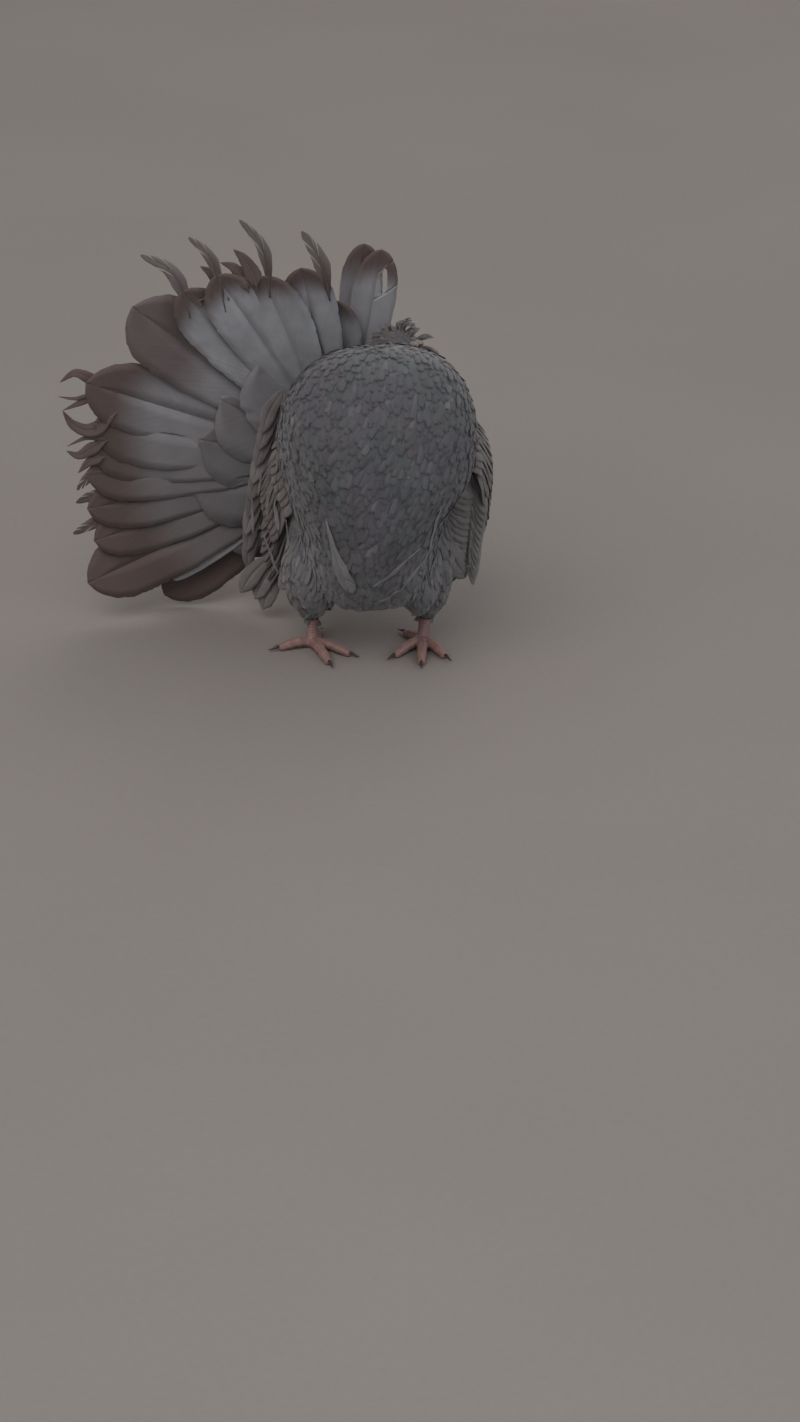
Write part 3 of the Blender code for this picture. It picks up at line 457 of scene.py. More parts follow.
# Body feathers. Each is a soft round-ended vane on a short shaft, cupped over the body, with loose
# barbs round its rim. They stand in the skin as close as real ones, lie from the head towards the
# tail and the legs, and are smallest on the face.
def soft_blade(rng, rows, columns, barbs, loose):
    """One soft feather: points as (across, along, over) of a cupped vane that is broadest near its
    round end, and of the loose barbs that fringe its rim, each a tapering triangle."""
    rim = np.array([(0.10, 0.02), (0.46, 0.18), (0.80, 0.38), (0.98, 0.58), (1.00, 0.70), (0.88, 0.83),
                    (0.62, 0.93), (0.30, 0.985), (0.0, 1.0)])
    run = np.concatenate([[0], np.cumsum(np.hypot(*np.diff(rim, axis=0).T))])
    run /= run[-1]
    points, faces = [], []
    for v in np.linspace(0.03, 0.92, rows) ** 0.85:
        wide = 0.86 * np.interp(v, rim[:6, 1] * 0.97, rim[:6, 0]) * (1.0 if v < 0.8 else 0.80)
        for u in np.linspace(-1, 1, columns) * wide:
            points.append((u, v, -0.10 * u * u + (0.02 if u == 0 else 0.0)))
    for i in range(rows - 1):
        for j in range(columns - 1):
            a, b = i * columns + j, (i + 1) * columns + j
            faces += [(a, a + 1, b + 1), (a, b + 1, b)]
    step = 0.74 / barbs
    for side in (-1.0, 1.0):
        for k in range(barbs + 1):
            t = 0.27 + step * k
            ends = []
            barb_tip = (min(t + 0.05, 1.0), 1.0 + rng.normal(0, loose))
            for at, share in ((t - 0.62 * step, 0.80), barb_tip, (t + 0.62 * step, 0.80)):
                u, v = np.interp(min(at, 1.0), run, rim[:, 0]), np.interp(min(at, 1.0), run, rim[:, 1])
                ends.append((side * u * share, 0.45 + (v - 0.45) * (share if share < 0.9 else share + 0.03),
                             -0.10 * u * u * share + rng.normal(0, 0.2 * loose)))
            first = len(points)
            points += ends
            faces.append((first, first + 1, first + 2) if side > 0 else (first, first + 2, first + 1))
    return np.array(points), np.array(faces)


def scattered(mesh, count, spacing, seed):
    """Places on a mesh, as even as feather follicles: seeded draws, kept where none is too near.
    Gives the places, their normals and their spots on the skin's unwrap."""
    rng = np.random.default_rng(seed)
    mesh.calc_loop_triangles()
    tris = rows_of(mesh.loop_triangles, "vertices", 3, np.int32)
    loops = rows_of(mesh.loop_triangles, "loops", 3, np.int32)
    flat = rows_of(mesh.uv_layers["OFBake"].data, "uv", 2)
    corner = rows_of(mesh.vertices, "co", 3)[tris]
    corner_normal = rows_of(mesh.vertices, "normal", 3)[tris]
    area = np.linalg.norm(np.cross(corner[:, 1] - corner[:, 0], corner[:, 2] - corner[:, 0]), axis=1)
    pick = rng.choice(len(tris), count, p=area / area.sum())
    a, b = rng.random(count), rng.random(count)
    a, b = np.where(a + b > 1, 1 - a, a), np.where(a + b > 1, 1 - b, b)
    weight = np.stack([1 - a - b, a, b], 1)[:, :, None]
    place = (corner[pick] * weight).sum(1)
    normal = (corner_normal[pick] * weight).sum(1)
    spot = (flat[loops[pick]] * weight).sum(1)
    apart = spacing(place)
    cell = 0.0035
    taken, kept = {}, []
    for i, p in enumerate(place):
        key = tuple((p // cell).astype(int))
        near = [j for x in (-1, 0, 1) for y in (-1, 0, 1) for z in (-1, 0, 1)
                for j in taken.get((key[0] + x, key[1] + y, key[2] + z), ())]
        if near and (((place[near] - p) ** 2).sum(1) < apart[i] ** 2).any():
            continue
        taken.setdefault(key, []).append(i)
        kept.append(i)
    normal = normal[kept] / np.linalg.norm(normal[kept], axis=1, keepdims=True)
    return place[kept], normal, spot[kept]


def unit(rows):
    """The rows, each made one long."""
    return rows / np.maximum(np.linalg.norm(rows, axis=1, keepdims=True), 1e-9)


def laid(normal, lie):
    """The lie made to follow the surface."""
    return unit(lie - normal * (lie * normal).sum(1, keepdims=True))


skin_tree = BVHTree.FromPolygons([tuple(v.co) for v in skin.data.vertices],
                                 [tuple(p.vertices) for p in skin.data.polygons])


def plumes(name, chosen, blades, rng, material, sink=0.0004):
    """One joined piece of many like feathers, each with one of the blades. They follow the skin
    under them, so that they cover its hollows too."""
    place, normal, lie, spot = (rows[chosen] for rows in (
        follicle, follicle_normal, follicle_lie, follicle_spot))
    length, width, lift, tone_and_painted_light, wear_and_painted_light, fade_and_painted_light = (rows[chosen] for rows in (
        plume_length, plume_width, plume_lift, plume_tone_and_shade, plume_wear, plume_fade_and_light))
    many = len(place)
    points = np.array([blade[0] for blade in blades])[rng.integers(0, len(blades), many)]
    faces = blades[0][1]
    across = np.cross(lie, normal)
    u, v, w = points[:, :, 0], points[:, :, 1] - 0.08, points[:, :, 2]
    under = []
    for p, n, d, long in zip(place, normal, lie, length):
        for share in (0.5, 1.0):
            ahead = p + d * long * share
            under.append((np.array(skin_tree.find_nearest(Vector(ahead))[0]) - ahead) @ n)
    under = np.clip(np.array(under).reshape(-1, 2), -0.4 * length[:, None], 0.4 * length[:, None])
    half = under[:, 0] + np.tan(lift) * length * 0.55
    full = under[:, 1] + np.tan(lift) * length * 0.80
    rise = (4 * half - full)[:, None] * v + (2 * full - 4 * half)[:, None] * v ** 2
    rise += w * width[:, None] * 0.9 - sink
    ahead = np.cos(lift)[:, None] * v * length[:, None]
    verts = (place[:, None, :] + lie[:, None, :] * ahead[:, :, None] + normal[:, None, :] * rise[:, :, None]
             + across[:, None, :] * (u * width[:, None] / 2)[:, :, None])
    tris = faces[None] + (np.arange(many) * points.shape[1])[:, None, None]
    flat = np.stack([u / 2 + 0.5, points[:, :, 1]], 2)
    bake = spot[:, None, :] + (flat - 0.5) * 0.003
    spread = {label: np.repeat(rows, points.shape[1])
              for label, rows in (("tone_and_painted_light", tone_and_painted_light), ("wear_and_painted_light", wear_and_painted_light), ("fade_and_painted_light", fade_and_painted_light))}
    return mesh_piece(name, verts.reshape(-1, 3), tris.reshape(-1, 3), flat.reshape(-1, 2),
                      bake.reshape(-1, 2), spread, np.repeat(place, points.shape[1], 0), material)


def feather_spacing(place):
    """How far apart the feathers' roots are: closest on the face."""
    near = np.linalg.norm(place - np.array(HEAD), axis=1)
    return np.interp(near, [0.012, 0.018, 0.030, 0.060], [0.00085, 0.00115, 0.0016, 0.0020])


rng = np.random.default_rng(7)
follicle, follicle_normal, follicle_spot = scattered(skin.data, 90000, feather_spacing, 11)
form = np.array([name.split("_")[0] for name in region_of(follicle + follicle_normal * 0.001)])
from_head = unit(follicle - np.array(HEAD))
low = np.clip((0.085 - follicle[:, 2]) / 0.045, 0, 1)[:, None]
follicle_lie = from_head + low * np.array([0.0, 0.75, -0.5])
follicle_lie[form == "head"] = -np.array(AHEAD) + np.array([0, 0, -0.25])
follicle_lie[form == "thigh"] = (0.0, 0.10, -1.0)
follicle_lie[form == "rump"] = unit((follicle - np.array(STANCE + Vector((0.0, 0.02, 0.14))))[form == "rump"])
follicle_lie[form == "arm"] = np.array(HEADING @ Vector((0.0, math.cos(WING_SLOPE), -math.sin(WING_SLOPE))))
follicle_lie = laid(follicle_normal, unit(follicle_lie) + rng.normal(0, 0.10, (len(follicle), 3)))

# where the middle of each eyeball lies on the head
EYE_ALONG, EYE_ASIDE, EYE_UP = 0.0042, 0.0085, 0.0008
eyes_at = [np.array(on_head(EYE_ALONG, side * EYE_ASIDE, EYE_UP)) for side in (-1, 1)]
bill_root = np.array(on_head(0.0165, 0.0, -0.0034))
clear = np.min([np.linalg.norm(follicle - eye, axis=1) for eye in eyes_at], axis=0) > 0.0052
clear &= np.linalg.norm(follicle - bill_root, axis=1) > 0.0021
clear &= follicle[:, 2] > 0.0165
# length, width and lift in degrees of the feathers of each form
PLUMES = {"torso": (0.0118, 0.0048, 3.4), "neck": (0.0076, 0.0038, 6.5), "head": (0.0040, 0.0017, 9.0),
          "thigh": (0.0110, 0.0042, 4.0), "rump": (0.0110, 0.0055, 6.0), "arm": (0.0118, 0.0054, 5.0)}
plume_length = np.array([PLUMES[f][0] for f in form]) * rng.uniform(0.80, 1.20, len(form))
plume_width = np.array([PLUMES[f][1] for f in form]) * rng.uniform(0.85, 1.15, len(form))
plume_lift = np.radians([PLUMES[f][2] for f in form]) + rng.normal(0, 0.035, len(form))
near = np.linalg.norm(follicle - np.array(HEAD), axis=1)
body = form == "torso"
scale = np.interp(near, [0.015, 0.035, 0.070], [0.55, 0.80, 1.0])
plume_length[body] *= scale[body]
plume_width[body] *= scale[body]
plume_tone_and_shade = rng.uniform(0.66, 1.0, len(form))
# painted shade: the tone falls with height, so the top of the breast, the neck and the head are darker
plume_tone_and_shade *= np.interp(follicle[:, 2], [0.09, 0.14, 0.18], [1.0, 0.72, 0.10])
plume_wear = np.clip(rng.normal(0.12, 0.10, len(form)), 0, 0.5) + np.where(form == "arm", 0.10, 0.0)
plume_wear[form == "thigh"] += 0.3
plume_wear[form == "head"] += 0.35
plume_fade_and_light = np.where(rng.random(len(form)) < 0.05, rng.uniform(0.04, 0.16, len(form)), 0.0)
# painted light: below 9.5 cm the feathers grow paler towards the floor, on the belly and thighs
plume_fade_and_light += np.interp(follicle[:, 2], [0.035, 0.095], [0.18, 0.0])
streaked = (form == "arm") & (rng.random(len(form)) < 0.16)
plume_fade_and_light[streaked] = rng.uniform(0.2, 0.6, streaked.sum())
plume_width[streaked] *= 0.45
crown = (form == "head") & (((follicle - np.array(HEAD)) @ np.array(AHEAD)) < 0.002)
crown &= rng.random(len(form)) < 0.10
plume_lift[crown] += rng.uniform(0.2, 0.6, crown.sum())
plume_length[crown] *= 1.5
fine = [soft_blade(rng, 3, 3, 6, 0.07) for _ in range(4)]
full = [soft_blade(rng, 5, 5, 11, 0.10) for _ in range(8)]
front = follicle[:, 1] < STANCE.y
for name, chosen, blades in (
        ("coat_breast_right", body & front & (follicle[:, 0] < STANCE.x + 0.004), full),
        ("coat_breast_left", body & front & (follicle[:, 0] >= STANCE.x + 0.004), full),
        ("coat_back_right", body & ~front & (follicle[:, 0] < STANCE.x), full),
        ("coat_back_left", body & ~front & (follicle[:, 0] >= STANCE.x), full),
        ("coat_neck", form == "neck", full),
        ("coat_head", form == "head", fine),
        ("coat_thighs", form == "thigh", full),
        ("coat_rump", form == "rump", full),
        ("coat_wing_arms", form == "arm", full)):
    arm = name == "coat_wing_arms"
    piece = plumes(name, chosen & clear, blades, rng, wing_plumage if arm else body_plumage,
                   0.00015 if name == "coat_head" else 0.0003)
    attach(piece, "root")


# Stiff feathers of the fan and wings. Each is a tapering shaft with a web of barbs on both sides.
# The barbs hook into one another and make a smooth sheet, with a slightly ragged edge, and the
# sheet is parted along a barb where they have unzipped.
def webs(rng, barbs, outline, reach, splits, gap, ratio, ragged=0.015, columns=5):
    """The two webs of a feather as sheets of (across, along) rows, one row a barb. ratio is its
    half width as a share of its length."""
    edge = np.array([(wide, along) for along, wide in outline] + [(0.0, 1.0 + 0.12 * ratio)])
    run = np.concatenate([[0], np.cumsum(np.hypot(np.diff(edge[:, 0]) * ratio, np.diff(edge[:, 1])))])
    run /= run[-1]
    t = np.arange(barbs + 1) / barbs
    sheets = []
    for side in (-1.0, 1.0):
        q = reach + (1 - reach) * t ** 0.9
        rough = 1 - np.abs(rng.normal(0, ragged, barbs + 1))
        rough -= 0.02 * np.sin(t * rng.uniform(9, 16) + rng.uniform(0, 6)) ** 2
        stops = sorted(rng.choice(np.arange(barbs // 3, barbs - 1), splits, replace=False)) if splits else []
        for first, last in zip([0, *stops], [*stops, barbs]):
            rows = np.arange(first, last + 1)
            shift = 0.0
            if first:
                shift = rng.uniform(0.4, 1.0) * gap * np.clip(1 - (rows - first) / (barbs * 0.14), 0, 1)
            at = np.minimum(q[rows] + shift * (1 - q[rows]) ** 0.3, 1.0)
            tip_u, tip_v = np.interp(at, run, edge[:, 0]) * rough[rows], np.interp(at, run, edge[:, 1])
            root_v = 0.02 + 0.955 * t[rows]
            s = (np.linspace(0, 1, columns) ** 0.85)[None]
            u = side * (-0.006 + (np.maximum(tip_u, 0.004) + 0.006)[:, None] * s)
            v = root_v[:, None] + (tip_v - root_v)[:, None] * s ** 1.2
            sheets.append(np.stack([u, v], -1))
    return sheets


def stiff_feather(rng, sheets, line, sides, outs, half, thin, shaft, camber=0.0, wave=0.0):
    """One feather's points, triangles and flat places: its sheets, thin and closed, and from the
    point whose number comes last, the shaft. Sides and outs are its directions along the line."""
    stations = np.linspace(0, 1, len(line))
    ahead = (line[-1] - line[-2]) / (stations[-1] - stations[-2])
    phase, turns = rng.uniform(0, 6.3, 2), rng.uniform(1.2, 2.6, 2)

    def spot(uv, over):
        u, v = uv[..., 0], np.clip(uv[..., 1], 0.0, 1.0)
        past = uv[..., 1] - v

        def at(rows):
            return np.stack([np.interp(v, stations, rows[:, i]) for i in range(3)], -1)

        web = (u > 0).astype(int)
        ripple = wave * np.abs(u) ** 1.5 * np.sin(6.3 * v * turns[web] + phase[web])
        return (at(line) + at(sides) * (u * half)[..., None]
                + at(outs) * (over + ripple - camber * u * u * half)[..., None] + past[..., None] * ahead)

    verts, flats, tris, count = [], [], [], 0
    for sheet in sheets:
        rows, columns = sheet.shape[:2]
        depth = thin * (1 - 0.6 * np.abs(sheet[..., 0]))
        ridge = np.where(np.arange(rows) % 2 == 0, 0.000010, -0.000006)[:, None]
        verts += [spot(sheet, over).reshape(-1, 3) for over in (ridge + depth / 2, ridge - depth / 2)]
        flats += [sheet.reshape(-1, 2)] * 2
        grid = np.arange(rows * columns).reshape(rows, columns)
        a, b, c, d = (part.ravel() for part in (grid[:-1, :-1], grid[:-1, 1:], grid[1:, 1:], grid[1:, :-1]))
        top = np.concatenate([np.stack([a, b, c], 1), np.stack([a, c, d], 1)])
        under = top[:, ::-1] + rows * columns
        rim = np.concatenate([grid[0, :], grid[1:, -1], grid[-1, -2::-1], grid[-2:0:-1, 0]])
        after = np.roll(rim, -1)
        wall = np.concatenate([np.stack([after, rim, rim + rows * columns], 1),
                               np.stack([after, rim + rows * columns, after + rows * columns], 1)])
        faces = np.concatenate([top, under, wall])
        if sheet[0, -1, 0] < 0:
            faces = faces[:, ::-1]
        tris.append(faces + count)
        count += 2 * rows * columns
    v = np.linspace(0.0, 0.955, 9)
    size = shaft * (1 - 0.86 * v)
    ring = [spot(np.stack([c * size / half, v], -1), s * size)
            for c, s in ((1, 0), (0, 1.1), (-1, 0), (0, -1.1))]
    verts.append(np.stack(ring, 1).reshape(-1, 3))
    flats.append(np.repeat(np.stack([v * 0, v], -1), 4, 0))
    quill = []
    for j in range(8):
        for c in range(4):
            a, b = count + 4 * j + c, count + 4 * j + (c + 1) % 4
            quill += [(a, b + 4, b), (a, a + 4, b + 4)]
    end = count + 32
    quill += [(count, count + 1, count + 2), (count, count + 2, count + 3)]
    quill += [(end, end + 2, end + 1), (end, end + 3, end + 2)]
    tris = np.concatenate([*tris, np.array(quill)])
    if np.cross(sides[0], line[1] - line[0]) @ outs[0] < 0:
        tris = tris[:, ::-1]
    return np.concatenate(verts), tris, np.concatenate(flats), count


def gathered(name, feathers, material):
    """One piece of many stiff feathers. Each is laid flat in its own cell of the piece's unwrap."""
    columns = math.ceil(math.sqrt(len(feathers)))
    verts, tris, blades, bakes, count = [], [], [], [], 0
    floats = {"tone_and_painted_light": [], "wear_and_painted_light": [], "fade_and_painted_light": []}
    for i, (points, faces, flat, shaft_from, tone_and_painted_light, wear_and_painted_light, fade_and_painted_light) in enumerate(feathers):
        verts.append(points)
        tris.append(faces + count)
        blade = np.stack([flat[:, 0] / 2 + 0.5, flat[:, 1]], -1)
        blades.append(blade)
        cell = np.array([i % columns, i // columns]) / columns
        bakes.append(cell + (np.clip(blade, 0, 1) * 0.88 + 0.06) / columns)
        floats["tone_and_painted_light"].append(np.full(len(points), tone_and_painted_light))
        floats["wear_and_painted_light"].append(np.clip(wear_and_painted_light(flat), 0, 1))
        pale = np.clip(fade_and_painted_light(flat), 0, 1)
        pale[shaft_from:] = np.maximum(pale[shaft_from:], 0.10)
        floats["fade_and_painted_light"].append(pale)
        count += len(points)
    return mesh_piece(name, np.concatenate(verts), np.concatenate(tris), np.concatenate(blades),
                      np.concatenate(bakes), {label: np.concatenate(rows) for label, rows in floats.items()},
                      np.concatenate(verts), material)


# The fan. Its feathers spring from the rump and stand in a half circle, each a broad soft blade
# turned a little about its shaft, with rows of shorter ones over and behind their roots. The
# outermost tips are worn, and many end in a narrow, curved and frayed remnant.
# angle from straight up in degrees, length, width, lean to the front in degrees, curl to the
# front, and sideways bend at the tip
FAN_FEATHERS = [
    (-8.6, 0.145, 0.026, 9.9, 0.004, -0.001),
    (-5.4, 0.1455, 0.025, 9.0, 0.004, 0.001),
    (3.0, 0.113, 0.030, 12.0, 0.004, 0.000),
    (11.0, 0.142, 0.033, 15.5, 0.005, -0.003),
    (19.0, 0.145, 0.034, 17.0, 0.004, 0.000),
    (27.5, 0.157, 0.036, 17.0, 0.004, 0.001),
    (35.5, 0.158, 0.036, 16.0, 0.004, 0.002),
    (46.0, 0.167, 0.050, 14.5, 0.003, 0.001),
    (65.5, 0.164, 0.044, 14.1, 0.003, 0.000),
    (74.0, 0.151, 0.046, 13.7, 0.003, 0.000),
    (80.5, 0.150, 0.040, 13.1, 0.003, 0.000),
    (87.0, 0.151, 0.036, 13.0, 0.003, 0.000),
    (94.5, 0.152, 0.035, 12.5, 0.003, 0.002),
    (102.5, 0.152, 0.035, 12.0, 0.003, 0.002),
    (112.0, 0.164, 0.042, 12.0, 0.002, 0.000),
    (126.0, 0.132, 0.034, 6.0, 0.000, 0.000),
]
# The feathers are turned about their shafts, to one side and the other of the angle at which one
# lies over both its neighbours.
FAN_SHINGLE, FAN_FRONT_ANGLE = math.radians(4.5), 24.0
# outlines as shares of the length and of the half width
FAN_OUTLINE = [(0.00, 0.20), (0.18, 0.36), (0.45, 0.76), (0.66, 0.97), (0.78, 1.00), (0.88, 0.94),
               (0.94, 0.76), (0.98, 0.50), (1.00, 0.30)]
COVERT_OUTLINE = [(0.00, 0.40), (0.34, 0.84), (0.56, 0.99), (0.68, 1.00), (0.80, 0.93), (0.88, 0.80),
                  (0.94, 0.61), (0.98, 0.38), (1.00, 0.20)]
FRAY_OUTLINE = [(0.00, 0.95), (0.45, 1.00), (0.75, 0.78), (0.92, 0.48), (1.00, 0.16)]
HOOK_OUTLINE = [(0.00, 1.00), (0.35, 0.90), (0.70, 0.55), (0.92, 0.22), (1.00, 0.05)]
# first and last angle, count, length, width, how far in front of the fan, curl to the front
FAN_ROWS = [
    (33.0, 117.0, 5, 0.092, 0.058, 0.0008, 0.001),
    (39.0, 120.0, 4, 0.056, 0.048, 0.0016, 0.001),
    (15.0, 107.0, 12, 0.136, 0.036, -0.0030, 0.003),
    (6.0, 112.0, 11, 0.088, 0.038, -0.0062, 0.001),
    (2.0, 116.0, 9, 0.060, 0.034, -0.0086, 0.001),
]
# frayed remnants: the feather that each ends, its line as shares of the feather's length and how
# far beside the shaft, and its width
FRAYS = [
    (3, [(0.83, -0.0125), (0.97, -0.0125), (1.08, -0.0100), (1.19, -0.0045)], 0.0085),
    (4, [(0.90, 0.0005), (1.06, -0.0060), (1.18, -0.0070), (1.30, -0.0020)], 0.0065),
    (5, [(0.85, 0.0075), (1.03, -0.0020), (1.13, -0.0030), (1.21, 0.0000)], 0.0060),
    (6, [(0.90, 0.0070), (1.01, -0.0010), (1.12, -0.0040), (1.23, 0.0015)], 0.0080),
    (11, [(0.88, 0.0025), (0.97, -0.0020), (1.01, 0.0020), (1.05, 0.0085)], 0.0065),
    (12, [(0.85, 0.0010), (0.93, -0.0055), (0.99, -0.0070), (1.05, -0.0050)], 0.0065),
    (13, [(0.88, -0.0045), (0.97, -0.0100), (1.02, -0.0095), (1.08, -0.0080)], 0.0065),
]
# hooked dark ends of the webs: how far behind the feet, width, and their line across and up
HOOKS = [
    (0.0240, 0.0100, [(-0.0772, 0.2022), (-0.0820, 0.2117), (-0.0869, 0.2179), (-0.0928, 0.2219)]),
    (0.0230, 0.0090, [(-0.0661, 0.2067), (-0.0699, 0.2162), (-0.0748, 0.2220), (-0.0815, 0.2244)]),
    (0.0220, 0.0105, [(-0.0615, 0.2092), (-0.0638, 0.2186), (-0.0686, 0.2270), (-0.0740, 0.2324)]),
    (0.0240, 0.0030, [(-0.0928, 0.1979), (-0.0952, 0.2032), (-0.0986, 0.2101)]),
    (0.0240, 0.0014, [(-0.0953, 0.2006), (-0.0912, 0.2032), (-0.0870, 0.2043)]),
    (0.0300, 0.0085, [(-0.1428, 0.1449), (-0.1557, 0.1517), (-0.1657, 0.1564), (-0.1749, 0.1508)]),
    (0.0300, 0.0072, [(-0.1438, 0.1438), (-0.1551, 0.1430), (-0.1628, 0.1389), (-0.1738, 0.1337)]),
    (0.0300, 0.0100, [(-0.1432, 0.1323), (-0.1569, 0.1216), (-0.1680, 0.1245), (-0.1740, 0.1332)]),
    (0.0300, 0.0030, [(-0.1560, 0.1441), (-0.1663, 0.1408), (-0.1765, 0.1421)]),
    (0.0310, 0.0036, [(-0.1500, 0.1155), (-0.1613, 0.1164), (-0.1727, 0.1111)]),
    (0.0310, 0.0085, [(-0.1490, 0.1150), (-0.1595, 0.1092), (-0.1663, 0.1056), (-0.1729, 0.1083)]),
    (0.0310, 0.0075, [(-0.1514, 0.1045), (-0.1598, 0.1018), (-0.1667, 0.0948)]),
]


def fan_spot(feather, share, aside=0.0, lift=0.0):
    """A place on a tail feather, with the direction across it and out of its front face."""
    angle, length, _, lean, curl, drop = feather
    turn, tip = math.radians(angle), math.radians(lean)
    along = Vector((-math.sin(turn) * math.cos(tip), -math.sin(tip), math.cos(turn) * math.cos(tip)))
    down = Vector((-math.cos(turn), 0.0, -math.sin(turn)))
    front = along.cross(down)
    twist = FAN_SHINGLE * max(-1.0, min(1.0, (angle - FAN_FRONT_ANGLE) / 8.0))
    if 60.0 < angle < 78.0:  # the two broadest lie nearly as one sheet
        twist *= 0.3
    side = down * math.cos(twist) + front * math.sin(twist)
    out = front * math.cos(twist) - down * math.sin(twist)
    place = FAN_ROOT + along * (length * share) + front * (curl * share ** 2) + down * (drop * share ** 2)
    return place + side * aside + out * lift, side, out


def fan_line(feather, lift, start):
    """The places, sides and outward directions along a tail feather from its start to its tip."""
    rows = [fan_spot(feather, start + (1 - start) * share, 0.0, lift) for share in np.linspace(0, 1, 14)]
    return [np.array([row[i] for row in rows]) for i in range(3)]


def fan_wear_and_shade(feather, strength=1.0):
    """Browner towards the tip, which is wear, and darker brown lower in the fan, which is painted shade."""
    # painted shade: the lower a feather lies in the fan, the browner and darker it is all over
    low_fan_shade = np.interp(feather[0], [-10, 5, 12, 35, 46, 62, 78, 95, 112, 126],
                      [0.1, 0.1, 0, 0, 0.18, 0.05, 0.20, 0.40, 0.5, 0.9])
    start = np.interp(feather[0], [-10, 3, 35, 46, 63, 70, 100, 112],
                      [0.84, 0.86, 0.89, 0.58, 0.72, 0.76, 0.72, 0.60])
    soft = np.interp(feather[0], [0, 35, 46], [0.10, 0.07, 0.16])
    full = np.interp(feather[0], [36, 46, 60], [0.95, 0.80, 0.95])

    def wear_and_painted_light(flat):
        band = np.clip((flat[:, 1] - start + 0.05 * np.abs(flat[:, 0])) / soft, 0, 1)
        return strength * (low_fan_shade + band * (1 - low_fan_shade) * full)

    return wear_and_painted_light


def fan_tone_and_light(feather):
    """A feather's tone, a little random: paler above, painted light for the light that shines through the
    thin webs, and darker below, painted shade.
    """
    tone_and_painted_light = np.interp(feather[0], [-10, 38, 47, 62, 76, 92, 126], [1.0, 0.95, 0.95, 0.62, 0.40, 0.20, 0.0])
    return float(tone_and_painted_light) + rng.uniform(-0.06, 0.06)


def evenly(value):
    """The same wear or paleness all over a feather."""
    return lambda flat: np.full(len(flat), value)


def holed(sheet, first, last):
    """A web's sheet in four pieces that leave a slit between its second and third columns."""
    for row in (first, last):
        sheet[row, 1:3] = sheet[row, 1:3].mean(0)
    return [sheet[:first + 1], sheet[first:last + 1, :2], sheet[first:last + 1, 2:], sheet[last:]]


rng = np.random.default_rng(23)
# The fan's webs are thin and let light through; their pale colour is painted light that stands in for it, and
# they are brown where worn.
fan_plumage = plumage("blue_grey_tail_plumage", "#636568", "#a2a5ab", "#554846", ("#74787c", "#7a7680"),
                      900.0, 0.3, 0.22)
fan = []
for number, feather in enumerate(FAN_FEATHERS):
    ratio = feather[2] / 2 / feather[1]
    sheets = webs(rng, 72, FAN_OUTLINE, 0.12, 0, 0.020, ratio)
    if number == 0:
        sheets = [*holed(sheets[0], 56, 66), *sheets[1:]]
    line, sides, outs = fan_line(feather, 0.0012 if number == 0 else 0.0, 0.06)
    shape = stiff_feather(rng, sheets, line, sides, outs, feather[2] / 2, 0.00024, 0.00050, 0.01, 0.0010)
    fan.append((*shape, fan_tone_and_light(feather), fan_wear_and_shade(feather), evenly(0.0)))
angles, leans = [row[0] for row in FAN_FEATHERS], [row[3] for row in FAN_FEATHERS]
for first, last, count, length, width, lift, curl in FAN_ROWS:
    for i in range(count):
        angle = first + (last - first) * i / (count - 1) + rng.uniform(-1.5, 1.5)
        lean = float(np.interp(angle, angles, leans))
        feather = (angle, length * rng.uniform(0.93, 1.05), width * rng.uniform(0.94, 1.06), lean, curl, 0.0)
        sheets = webs(rng, 36, COVERT_OUTLINE, 0.16, 0, 0.016, feather[2] / 2 / feather[1], columns=4)
        line, sides, outs = fan_line(feather, lift, 0.06)
        shape = stiff_feather(rng, sheets, line, sides, outs, feather[2] / 2, 0.00020, 0.00036, 0.01, 0.0006)
        fan.append((*shape, fan_tone_and_light(feather) * (0.6 if lift > 0 else 0.75),
                    fan_wear_and_shade(feather, 0.3 if lift > 0 else 1.0), evenly(0.0)))
# the pale feather that shows between the two lowest
pale_feather = (122.8, 0.122, 0.0100, 8.0, 0.002, 0.0)
sheets = webs(rng, 30, COVERT_OUTLINE, 0.16, 0, 0.0, 0.041, columns=4)
line, sides, outs = fan_line(pale_feather, 0.0042, 0.28)
shape = stiff_feather(rng, sheets, line, sides, outs, pale_feather[2] / 2, 0.00020, 0.00036, 0.01, 0.0004)
fan.append((*shape, 0.9, evenly(0.0), evenly(0.40)))
for behind, width, places in HOOKS:
    line = np.array(through([STANCE + Vector((across, behind, up)) for across, up in places], 4))
    ahead = unit(np.gradient(line, axis=0))
    outs = laid(ahead, np.array([(0.0, -1.0, 0.28)] * len(line)))
    long = np.linalg.norm(np.diff(line, axis=0), axis=1).sum()
    sheets = webs(rng, 20, HOOK_OUTLINE, 0.25, 0, 0.0, width / 2 / long, 0.03, columns=4)
    sides = np.cross(ahead, outs)
    shape = stiff_feather(rng, sheets, line, sides, outs, width / 2, 0.00024, 0.00050, 0.03, 0.0003)
    fan.append((*shape, 0.3, evenly(0.95), evenly(0.0)))
